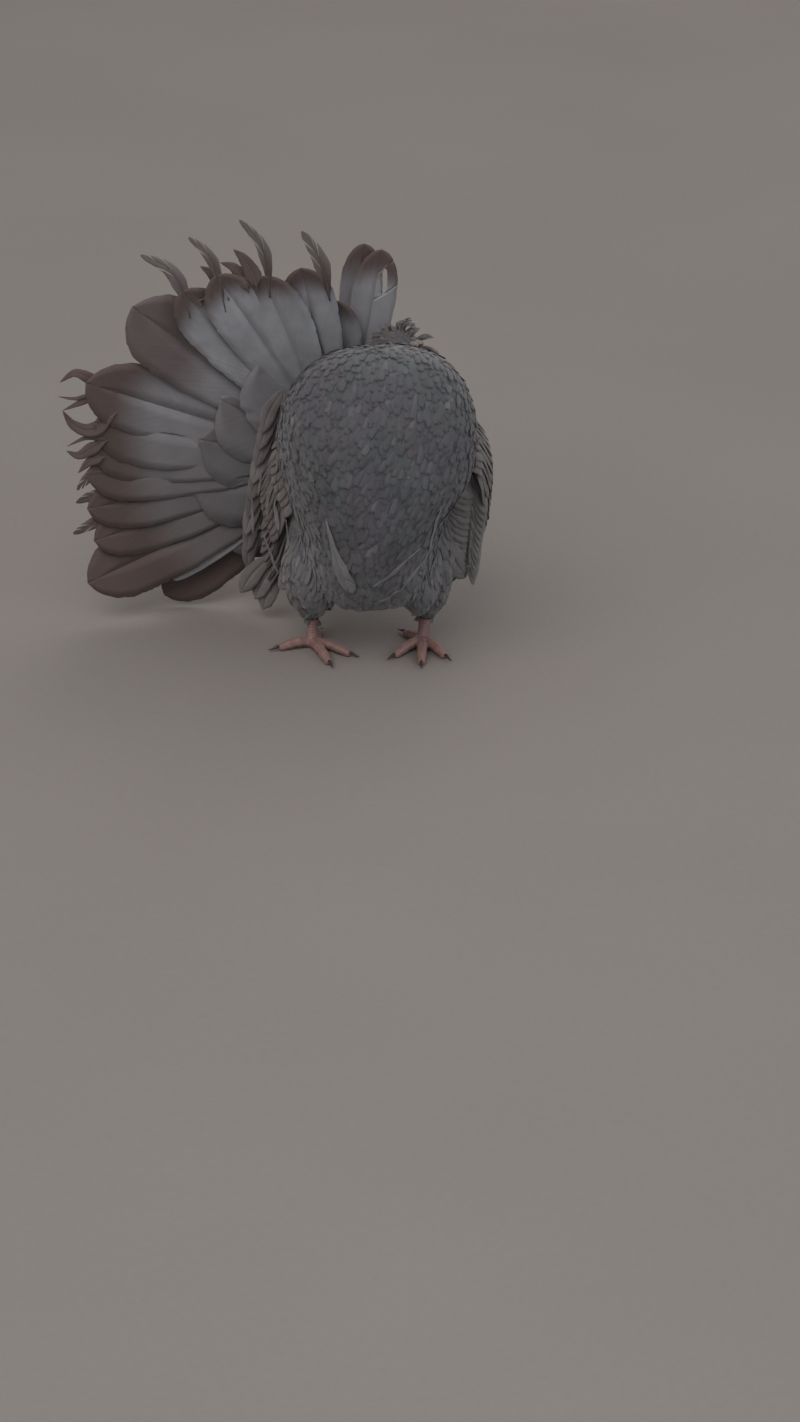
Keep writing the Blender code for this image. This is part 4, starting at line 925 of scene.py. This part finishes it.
for number, points, width in FRAYS:
    feather = FAN_FEATHERS[number]
    line = np.array(through([tuple(fan_spot(feather, share, aside)[0]) for share, aside in points], 4))
    ahead = unit(np.gradient(line, axis=0))
    out = np.array(fan_spot(feather, 1.0)[2])
    sides = unit(np.cross(ahead, out))
    outs = np.cross(sides, ahead)
    long = np.linalg.norm(np.diff(line, axis=0), axis=1).sum()
    sheets = webs(rng, 24, FRAY_OUTLINE, 0.42, 2, 0.10, width / 2 / long, 0.02, columns=4)
    shape = stiff_feather(rng, sheets, line, sides, outs, width * 0.58, 0.00030, 0.00060, 0.10, 0.0003)
    # Each fray is less brown towards its edges, a painted highlight; the upper frays also grow paler towards
    # their ends.
    pale = 0.30 if number < 8 else 0.0
    fan.append((*shape, 0.3, lambda flat: 1.0 - 0.25 * np.abs(flat[:, 0]),
                lambda flat, pale=pale: pale * np.clip(flat[:, 1] * 2.2 - 0.4, 0, 1)))
fan_piece = gathered("fan_feathers", fan, fan_plumage)
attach(fan_piece, "root")
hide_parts("tail")


# The folded wings. The long primaries lie lowest and fan out a little at their tips, the
# secondaries over their roots, and two rows of coverts over those, each with a pale worn line
# along its shaft.
FLIGHT_OUTLINE = [(0.00, 0.55), (0.35, 0.95), (0.72, 0.95), (0.90, 0.66), (0.97, 0.38), (1.00, 0.20)]
WING_COVERT_OUTLINE = [(0.00, 0.60), (0.60, 1.00), (0.84, 0.82), (0.95, 0.50), (1.00, 0.22)]
# count, root and tip of the first and last feather, widths, heights at root and tip, turn about
# the shaft in degrees, outline, barb tufts a side
WING_TIERS = [
    (10, ((0.040, 0.004), (0.046, 0.012)), ((0.168, 0.006), (0.120, 0.022)), (0.0150, 0.0180),
     ((-0.0030, -0.0052), (0.0016, 0.0008)), -21.0, FLIGHT_OUTLINE, 34),
    (11, ((0.040, 0.006), (0.034, 0.036)), ((0.114, 0.008), (0.096, 0.040)), (0.0170, 0.0165),
     ((0.0022, 0.0026), (0.0022, 0.0026)), -8.0, FLIGHT_OUTLINE, 24),
    (10, ((0.026, 0.002), (0.016, 0.034)), ((0.080, 0.000), (0.066, 0.039)), (0.0160, 0.0160),
     ((0.0034, 0.0048), (0.0034, 0.0048)), -8.0, WING_COVERT_OUTLINE, 20),
    (10, ((0.008, 0.000), (0.004, 0.030)), ((0.052, -0.003), (0.040, 0.035)), (0.0150, 0.0150),
     ((0.0032, 0.0062), (0.0032, 0.0062)), -8.0, WING_COVERT_OUTLINE, 18),
]
for wing in ("left", "right"):
    quills = []
    for count, root, tip, width, high, turn, outline, barbs in WING_TIERS:
        for i in range(count):
            share = i / (count - 1)

            def between(pair):
                return np.array(pair[0]) * (1 - share) + np.array(pair[1]) * share

            base, end, heights = between(root), between(tip) + rng.uniform(-0.001, 0.001, 2), between(high)
            spots = [wing_place(wing, *(base + (end - base) * s), heights[0] + (heights[1] - heights[0]) * s)
                     for s in np.linspace(0, 1, 12)]
            line = np.array([spot[0] for spot in spots])
            outs = np.array([spot[1] for spot in spots])
            ahead = unit(np.gradient(line, axis=0))
            outs = laid(ahead, outs)
            across = np.cross(ahead, outs)
            if (across @ np.array(HEADING @ Vector((0, 1, 0)))).sum() < 0:
                across = -across
            twist = math.radians(turn)
            sides = across * math.cos(twist) + outs * math.sin(twist)
            outs = outs * math.cos(twist) - across * math.sin(twist)
            half, long = between(width) / 2, np.linalg.norm(np.diff(line, axis=0), axis=1).sum()
            sheets = webs(rng, barbs, outline, 0.16, 1, 0.03, half / long, 0.03)
            streak = rng.uniform(0.1, 0.5) if outline is WING_COVERT_OUTLINE else 0.15
            shape = stiff_feather(rng, sheets, line, sides, outs, half, 0.00028, 0.00055, 0.10, 0.0004)
            quills.append((*shape, rng.uniform(0.1, 1.0),
                           lambda flat: 0.25 + np.clip(flat[:, 1] - 0.7, 0, 1) * 1.5,
                           lambda flat, streak=streak: streak * np.clip((flat[:, 1] - 0.35) * 4, 0, 1)
                           * np.clip(1 - np.abs(flat[:, 0] - 0.1) * 4, 0, 1)))
    piece = gathered("wing_feathers_" + wing, quills, wing_plumage)
    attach(piece, "root")
    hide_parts("wing_" + wing)


# Loose feathers that stand out in the plumage: a broad pale one low on the right of the breast,
# narrow pale edges that curve in under its left side, and the ruffled tufts of the forehead.
def loose_feather(rng, places, over, half, outline, barbs, reach, tone_and_painted_light, wear_and_painted_light, fade_and_painted_light, face=None, splits=1,
                  gap=0.03):
    """A feather along places counted from the stance. It lies over the skin, or faces a given way."""
    line, outs = [], []
    for spot in through(places, 4):
        point = STANCE + Vector(spot)
        if face is None:
            point, normal = skin_tree.find_nearest(point)[:2]
            point = point + normal * over
        line.append(np.array(point))
        outs.append(np.array(normal if face is None else face, float))
    line, outs = np.array(line), np.array(outs)
    line[1:-1] = (line[:-2] + 2 * line[1:-1] + line[2:]) / 4
    ahead = unit(np.gradient(line, axis=0))
    outs = laid(ahead, outs)
    long = np.linalg.norm(np.diff(line, axis=0), axis=1).sum()
    sheets = webs(rng, barbs, outline, reach, splits, gap, half / long, 0.04, columns=4)
    sides = np.cross(ahead, outs)
    shape = stiff_feather(rng, sheets, line, sides, outs, half, 0.00022, 0.00040, 0.10, 0.0004)
    return (*shape, tone_and_painted_light, evenly(wear_and_painted_light), evenly(fade_and_painted_light))


rng = np.random.default_rng(41)
SLIM = [(0.00, 0.30), (0.30, 0.80), (0.60, 1.00), (0.85, 0.75), (1.00, 0.15)]
BROAD = [(0.00, 0.15), (0.30, 0.35), (0.60, 0.85), (0.82, 1.00), (0.94, 0.72), (1.00, 0.35)]
PALE_BREAST_FEATHER = [(-0.0224, -0.0564, 0.1014), (-0.0181, -0.0539, 0.0828), (-0.0144, -0.0511, 0.0688),
                       (-0.0085, -0.0465, 0.0535)]
loose = [loose_feather(rng, PALE_BREAST_FEATHER, 0.0013, 0.0054, BROAD, 30, 0.10, 1.0, 0.0, 0.28)]
# half width, paleness, and places from the stance
PALE_EDGES = [
    (0.0016, 0.36, [(0.0419, -0.0489, 0.1054), (0.0391, -0.0465, 0.0960), (0.0376, -0.0400, 0.0802),
                    (0.0354, -0.0389, 0.0740)]),
    (0.0015, 0.30, [(0.0376, -0.0400, 0.0802), (0.0354, -0.0389, 0.0750), (0.0309, -0.0417, 0.0684),
                    (0.0242, -0.0438, 0.0601), (0.0190, -0.0425, 0.0526)]),
    (0.0012, 0.20, [(0.0433, -0.0253, 0.0833), (0.0395, -0.0200, 0.0660), (0.0356, -0.0257, 0.0557)]),
    (0.0014, 0.30, [(0.0303, -0.0487, 0.0818), (0.0236, -0.0513, 0.0762), (0.0174, -0.0519, 0.0698),
                    (0.0102, -0.0507, 0.0631), (0.0029, -0.0489, 0.0574)]),
    (0.0012, 0.28, [(0.0191, -0.0426, 0.0528), (0.0152, -0.0434, 0.0513), (0.0101, -0.0413, 0.0460),
                    (0.0010, -0.0400, 0.0439)]),
]
for half, fade_and_painted_light, places in PALE_EDGES:
    loose.append(loose_feather(rng, places, 0.0008, half, SLIM, 18, 0.20, 1.0, 0.1, fade_and_painted_light))
# root, middle and tip from the stance, and half width
TUFTS = [
    ((0.0180, 0.0270, 0.1820), (0.0205, 0.0250, 0.1880), (0.0250, 0.0240, 0.1905), 0.0013),
    ((0.0200, 0.0260, 0.1825), (0.0220, 0.0235, 0.1875), (0.0270, 0.0230, 0.1880), 0.0014),
    ((0.0215, 0.0250, 0.1815), (0.0250, 0.0225, 0.1860), (0.0285, 0.0230, 0.1850), 0.0013),
    ((0.0160, 0.0280, 0.1820), (0.0175, 0.0260, 0.1870), (0.0215, 0.0240, 0.1895), 0.0011),
    ((0.0225, 0.0240, 0.1800), (0.0260, 0.0220, 0.1840), (0.0290, 0.0220, 0.1870), 0.0010),
    ((0.0250, 0.0230, 0.1780), (0.0310, 0.0215, 0.1812), (0.0372, 0.0210, 0.1816), 0.0014),
    ((0.0140, 0.0280, 0.1820), (0.0120, 0.0270, 0.1850), (0.0135, 0.0250, 0.1875), 0.0009),
]
for root, middle, tip, half in TUFTS:
    for _ in range(2):
        jitter = rng.normal(0, 0.0006, (3, 3))
        places = list(np.array([root, middle, tip]) + jitter)
        face = (rng.normal(0.1, 0.5), -1.0, rng.normal(0.4, 0.3))
        loose.append(loose_feather(rng, places, 0.0, half, SLIM, 12, 0.34, 0.8, 0.5, 0.12, face, splits=2,
                                   gap=0.10))
loose_piece = gathered("loose_feathers", loose, body_plumage)
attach(loose_piece, "root")


# Flank feathers. Longer, darker blades grow from the sides of the body, fill the space up to the
# front edge of each wing, and hang out behind the bird's right wing.
def flank_feather(root, tip, bow, half, outline, barbs, tone_and_painted_light, wear_and_painted_light, fade_and_painted_light, face):
    """A blade from root to tip, bowed at its middle, that faces a given way."""
    middle = (np.array(root) + np.array(tip)) / 2 + bow
    places = [root, middle, tip]
    blade = loose_feather(rng, places, 0.0, half, outline, barbs, 0.16, tone_and_painted_light, wear_and_painted_light, fade_and_painted_light, face, splits=0)
    flank.append(blade)


flank = []
# in front of each wing, from the shoulder down
for side in (1.0, -1.0):
    for i in range(14):
        share = i / 13
        low = 0.094 - 0.066 * share
        if side > 0:
            tip = (0.0600 - 0.003 * share, 0.0046 + (0.0835 - low) * 0.53, low)
            root = (0.0440, -0.012 + 0.014 * share, 0.118 - 0.054 * share)
        else:
            tip = (-0.0380 - 0.24 * (0.0835 - low), -0.0096 + (0.0835 - low) * 0.50, low)
            root = (-0.0330, -0.014 + 0.014 * share, 0.118 - 0.054 * share)
        tone_and_painted_light, fade_and_painted_light = rng.uniform(0.6, 1.0), rng.uniform(0.12, 0.28)
        face = (side * 0.45, -1.0, 0.25 + rng.uniform(-0.1, 0.1))
        flank_feather(root, tip, (0, -0.003, 0), 0.0070, FLIGHT_OUTLINE, 24, tone_and_painted_light, 0.1, fade_and_painted_light, face)
# along the left wing's outer edge
for i in range(12):
    share = i / 11
    root = (0.0555 + 0.004 * share, -0.006 + 0.014 * share, 0.112 - 0.032 * share)
    tip = (0.0678 - 0.0065 * share, 0.010 + 0.026 * share, 0.078 - 0.056 * share)
    tone_and_painted_light, fade_and_painted_light = rng.uniform(0.5, 1.0), rng.uniform(0.18, 0.40)
    flank_feather(root, tip, (0.0015, 0, 0), 0.0046, SLIM, 24, tone_and_painted_light, 0.10, fade_and_painted_light, (0.5, -1.0, 0.15))
# root and tip of each feather behind the bird's right wing, and its half width
BEHIND_WING = [
    ((-0.0469, 0.0120, 0.1541), (-0.0594, 0.0160, 0.1259), 0.0048),
    ((-0.0489, 0.0155, 0.1425), (-0.0616, 0.0195, 0.1142), 0.0048),
    ((-0.0510, 0.0190, 0.1309), (-0.0638, 0.0230, 0.1023), 0.0048),
    ((-0.0532, 0.0225, 0.1191), (-0.0660, 0.0265, 0.0903), 0.0048),
    ((-0.0553, 0.0260, 0.1072), (-0.0680, 0.0300, 0.0783), 0.0048),
    ((-0.0574, 0.0295, 0.0953), (-0.0696, 0.0335, 0.0661), 0.0048),
    ((-0.0596, 0.0330, 0.0833), (-0.0712, 0.0370, 0.0539), 0.0048),
    ((-0.0618, 0.0365, 0.0712), (-0.0711, 0.0405, 0.0416), 0.0048),
    ((-0.0640, 0.0400, 0.0590), (-0.0710, 0.0440, 0.0292), 0.0048),
    ((-0.0571, 0.0300, 0.0430), (-0.0747, 0.0340, 0.0183), 0.0062),
    ((-0.0537, 0.0300, 0.0367), (-0.0659, 0.0340, 0.0144), 0.0062),
    ((-0.0503, 0.0300, 0.0328), (-0.0620, 0.0340, 0.0073), 0.0062),
]
for root, tip, half in BEHIND_WING:
    tone_and_painted_light, fade_and_painted_light = rng.uniform(0.5, 1.0), rng.choice([0.05, 0.12, 0.25])
    flank_feather(root, tip, (-0.002, 0, 0), half, SLIM, 26, tone_and_painted_light, 0.3, fade_and_painted_light, (-0.35, -1.0, 0.2))
# pale worn edges that run down the right wing: places from the stance, half width, paleness
WING_STREAKS = [
    ([(-0.0507, -0.0070, 0.1230), (-0.0511, -0.0010, 0.1090)], 0.0009, 0.40),
    ([(-0.0528, -0.0010, 0.0894), (-0.0510, 0.0050, 0.0695)], 0.0016, 0.45),
    ([(-0.0595, 0.0070, 0.0655), (-0.0520, 0.0130, 0.0391)], 0.0009, 0.40),
    ([(-0.0664, 0.0170, 0.0837), (-0.0665, 0.0230, 0.0599)], 0.0009, 0.35),
    ([(-0.0412, -0.0130, 0.1060), (-0.0388, -0.0070, 0.0814)], 0.0008, 0.35),
    ([(-0.0566, 0.0030, 0.0945), (-0.0576, 0.0090, 0.0771)], 0.0009, 0.35),
    ([(-0.0600, 0.0090, 0.1055), (-0.0628, 0.0150, 0.0870)], 0.0008, 0.30),
    ([(-0.0463, -0.0050, 0.0806), (-0.0445, 0.0010, 0.0582)], 0.0008, 0.30),
]
for places, half, fade_and_painted_light in WING_STREAKS:
    face = (-0.5, -1.0, 0.3)
    flank.append(loose_feather(rng, places, 0.0, half, SLIM, 16, 0.20, 1.0, 0.1, fade_and_painted_light, face, splits=0))
flank_piece = gathered("flank_feathers", flank, wing_plumage)
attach(flank_piece, "root")


# The eyes. Each ball has an orange-brown iris of fine fibres round a black pupil, under a cornea
# that stands out a little and is wet, so that it shines.
EYE_RADIUS = 0.0039
iris_look, tree, shader = finish("wet_eye_iris_and_pupil", {"Roughness": 0.12, "Coat Weight": 1.0,
                                                            "Coat Roughness": 0.03})
ring = held(tree, "ring")
fibres = noise(tree, node(tree, "ShaderNodeTexCoord").outputs["Object"], 2600.0, 2.0)
outer = node(tree, "ShaderNodeMapRange", {"Value": ring, "From Min": 0.0026, "From Max": 0.0030})
rim = mix(tree, outer.outputs[0], mix(tree, fibres, "#6e3216", "#b5652c"), "#2a1a14")
inner = node(tree, "ShaderNodeMapRange", {"Value": ring, "From Min": 0.0012, "From Max": 0.0014})
tree.links.new(mix(tree, inner.outputs[0], "#050505", rim), shader.inputs["Base Color"])
for side, name in ((-1, "right"), (1, "left")):
    bpy.ops.mesh.primitive_uv_sphere_add(segments=48, ring_count=40, radius=EYE_RADIUS)
    ball = bpy.context.active_object
    ball.name = "eyeball_" + name
    turn = (ASIDE * side).to_track_quat("Z", "Y").to_matrix()
    shape = bmesh.new()
    shape.from_mesh(ball.data)
    rings = []
    for vert in shape.verts:
        away = math.hypot(vert.co.x, vert.co.y)
        rings.append(away if vert.co.z > 0 else 2 * EYE_RADIUS - away)
        if vert.co.z > 0:
            vert.co.z += 0.00028 * math.exp(-(away / 0.0017) ** 2)
        vert.co = on_head(EYE_ALONG, side * EYE_ASIDE, EYE_UP) + turn @ vert.co
    shape.to_mesh(ball.data)
    shape.free()
    ball.data.attributes.new("ring", "FLOAT", "POINT").data.foreach_set("value", rings)
    ball.data.materials.append(iris_look)
    bpy.ops.object.shade_smooth()
    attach(ball, "root")
    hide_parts("eye_" + name)


# The lids. Bare, finely folded skin rings each eye, thicker where the upper lid rolls over the
# ball, and sinks under the feathers of the face.
lid_skin, tree, shader = finish("bare_lid_skin", {"Roughness": 0.55, "Subsurface Weight": 0.12,
                                                  "Subsurface Radius": (0.0012, 0.0006, 0.0004)})
place = node(tree, "ShaderNodeTexCoord").outputs["Object"]
pores = node(tree, "ShaderNodeTexVoronoi", {"Vector": place, "Scale": 3200.0})
dress(tree, shader, mix(tree, noise(tree, place, 900.0, 3.0), "#4c4646", "#7f7573"),
      pores.outputs["Distance"], 0.5, 0.0001)
# from the lid's edge outwards: how many times the opening's size, and height over the eyeball
LID_FOLDS = [(0.95, -0.00045), (0.985, 0.00010), (1.03, 0.00034), (1.09, 0.00030), (1.13, 0.00014),
             (1.18, 0.00016), (1.22, 0.00022), (1.27, 0.00008), (1.32, 0.00000), (1.37, 0.00008),
             (1.44, -0.00020), (1.56, -0.00090), (1.56, -0.0016), (1.30, -0.0013), (1.05, -0.0009)]
for side, name in ((-1, "right"), (1, "left")):
    rows = []
    for i in range(64):
        turn = 2 * math.pi * i / 64
        c, s = math.cos(turn), math.sin(turn)
        wide, high = 0.0033, (0.0027 if s > 0 else 0.0028)
        pinch = 1 + 0.10 * abs(c) ** 8
        ring = []
        for grow, over in LID_FOLDS:
            x, y = wide * grow * c * pinch, high * grow * s * (1 - 0.10 * abs(c) ** 6)
            over += 0.00016 * max(s, 0) * (grow < 1.15)
            over += 0.00004 * math.sin(9 * turn + 6 * grow) * (grow > 1)
            dome = math.sqrt(max((EYE_RADIUS + 0.0001) ** 2 - min(x * x + y * y, EYE_RADIUS ** 2), 0.0))
            out = EYE_ASIDE + max(dome, 0.0016) + over
            ring.append(on_head(EYE_ALONG + x, side * out, EYE_UP + y))
        rows.append(ring)
    shape = bmesh.new()
    loops = [[shape.verts.new(point) for point in ring] for ring in rows]
    for i in range(64):
        for k in range(len(LID_FOLDS)):
            a, b = loops[i], loops[(i + 1) % 64]
            shape.faces.new((a[k], a[(k + 1) % len(LID_FOLDS)], b[(k + 1) % len(LID_FOLDS)], b[k]))
    lids = built("lids_" + name, shape)
    lids.data.shade_smooth()
    lids.data.materials.append(lid_skin)
    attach(lids, "root")


# The bill. Two halves of dark horn, with fine lengthwise streaks and a worn, paler tip.
# It is the solids' own form made smooth.
horn, tree, shader = finish("dark_bill_horn", {"Roughness": 0.38, "Specular IOR Level": 0.5})
streaks = noise(tree, held(tree, "along_bill", "Vector"), 1800.0, 3.0)
keratin = mix(tree, streaks, "#231f21", "#453c3b")
dress(tree, shader, mix(tree, held(tree, "tip"), keratin, "#6b5d55"), streaks, 0.25, 0.0001)
for half in ("bill_upper", "bill_lower"):
    piece = fused([copy_of(half)], "horn_" + half, 0.00022, 3)
    local = rows_of(piece.data.vertices, "co", 3) - np.array(HEAD)
    along = local @ np.array(AHEAD)
    tip = np.clip((along - 0.0285) / 0.006, 0, 0.6)
    piece.data.attributes.new("tip", "FLOAT", "POINT").data.foreach_set("value", tip)
    stretched = np.stack([along * 0.08, local @ np.array(ASIDE), local @ np.array(ABOVE)], 1)
    line = piece.data.attributes.new("along_bill", "FLOAT_VECTOR", "POINT")
    line.data.foreach_set("vector", stretched.ravel())
    piece.data.materials.append(horn)
    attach(piece, "root")
    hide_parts(half)


# The cere. Two soft chalky swellings over the bill's root, powdered with feather dust, with a slit
# nostril under each.
chalk, tree, shader = finish("powdered_cere_skin", {"Roughness": 0.85, "Subsurface Weight": 0.10,
                                                    "Subsurface Radius": (0.0010, 0.0006, 0.0005)})
powder = noise(tree, node(tree, "ShaderNodeTexCoord").outputs["Object"], 1100.0, 4.0)
dress(tree, shader, mix(tree, powder, "#565150", "#837b78"), powder, 0.6, 0.00015)
piece = fused([copy_of("cere")], "cere_lobes", 0.00016, 2)
piece.data.materials.append(chalk)
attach(piece, "root")
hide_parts("cere")


# The feet. Scaled skin, pinkish grey: overlapping scutes down the front of the shank and over each
# toe, and small round scales on the sides and soles. The scutes are raised in the form itself.
podotheca, tree, shader = finish("scaled_foot_skin", {"Roughness": 0.58, "Subsurface Weight": 0.08,
                                                      "Subsurface Radius": (0.0012, 0.0006, 0.0004)})
place = node(tree, "ShaderNodeTexCoord").outputs["Object"]
pink = mix(tree, noise(tree, place, 420.0, 4.0), "#674f4d", "#8d716d")
scales = node(tree, "ShaderNodeTexVoronoi", {"Vector": place, "Scale": 1400.0})
dress(tree, shader, mix(tree, held(tree, "groove"), pink, "#5d4543"), scales.outputs["Distance"], 0.45,
      0.00018, invert=True)
# places from the stance of the pad and the cuff, and the reach of each toe from the pad
FEET = {
    "right": ((-0.0322, -0.0010, 0.0), (-0.0318, 0.0045, 0.0165),
              ((-0.0185, -0.0070), (0.0100, -0.0265), (0.0215, -0.0150), (0.0040, 0.0150))),
    "left": ((0.0318, 0.0010, 0.0), (0.0332, 0.0060, 0.0165),
             ((0.0125, -0.0200), (-0.0010, -0.0290), (-0.0160, -0.0190), (-0.0100, 0.0120))),
}
# the length of one scute
SCUTE = 0.0015
for side, (pad, cuff, toes) in FEET.items():
    foot = fused([copy_of("foot_" + side)], "scaled_foot_" + side, 0.00032, 4)
    pad_at, cuff_at = np.array(STANCE + Vector(pad)), np.array(STANCE + Vector(cuff))
    where = rows_of(foot.data.vertices, "co", 3)
    facing = rows_of(foot.data.vertices, "normal", 3)
    ankle = pad_at + (0, 0, 0.003)
    bars = [(ankle, cuff_at, np.array((0.0, -1.0, 0.2)))]
    bars += [(ankle, ankle + (*reach, 0.0), np.array((0.0, 0.0, 1.0))) for reach in toes]
    best, run, over = np.full(len(where), 1.0), np.zeros(len(where)), np.zeros(len(where))
    for start, end, top in bars:
        along = (end - start) / np.linalg.norm(end - start)
        t = np.clip((where - start) @ along, 0, np.linalg.norm(end - start))
        away = np.linalg.norm(where - start - t[:, None] * along, axis=1)
        nearer = away < best
        best, run = np.where(nearer, away, best), np.where(nearer, t, run)
        over = np.where(nearer, facing @ (top / np.linalg.norm(top)), over)
    share = (run / SCUTE + 0.25 * np.cos(over * 3)) % 1.0
    mask = np.clip((over - 0.15) / 0.35, 0, 1) * np.clip((run - 0.002) / 0.002, 0, 1)
    raised = np.clip(np.sin(math.pi * share) * 1.6, 0, 1)
    where += facing * ((raised - 0.6) * 0.00020 * mask)[:, None]
    where[:, 2] = np.maximum(where[:, 2], 0.0)
    foot.data.vertices.foreach_set("co", where.ravel())
    foot.data.attributes.new("groove", "FLOAT", "POINT").data.foreach_set("value", (1 - raised) * mask * 0.8)
    foot.data.materials.append(podotheca)
    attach(foot, "root")
    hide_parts("foot_" + side)


# The claws. Short, blunt, dark horn with a fine grain.
claw_horn, tree, shader = finish("dark_claw_horn", {"Roughness": 0.35})
grain = noise(tree, node(tree, "ShaderNodeTexCoord").outputs["Object"], 1500.0, 3.0)
tree.links.new(mix(tree, grain, "#1f1b1b", "#3f3633"), shader.inputs["Base Color"])
for side in FEET:
    nodes = [f"claw_{side}_{toe}" for toe in ("inner", "middle", "outer", "hind")]
    claws = fused([copy_of(name) for name in nodes], "claws_" + side, 0.00022, 2)
    claws.data.materials.append(claw_horn)
    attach(claws, "root")
    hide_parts(*nodes)
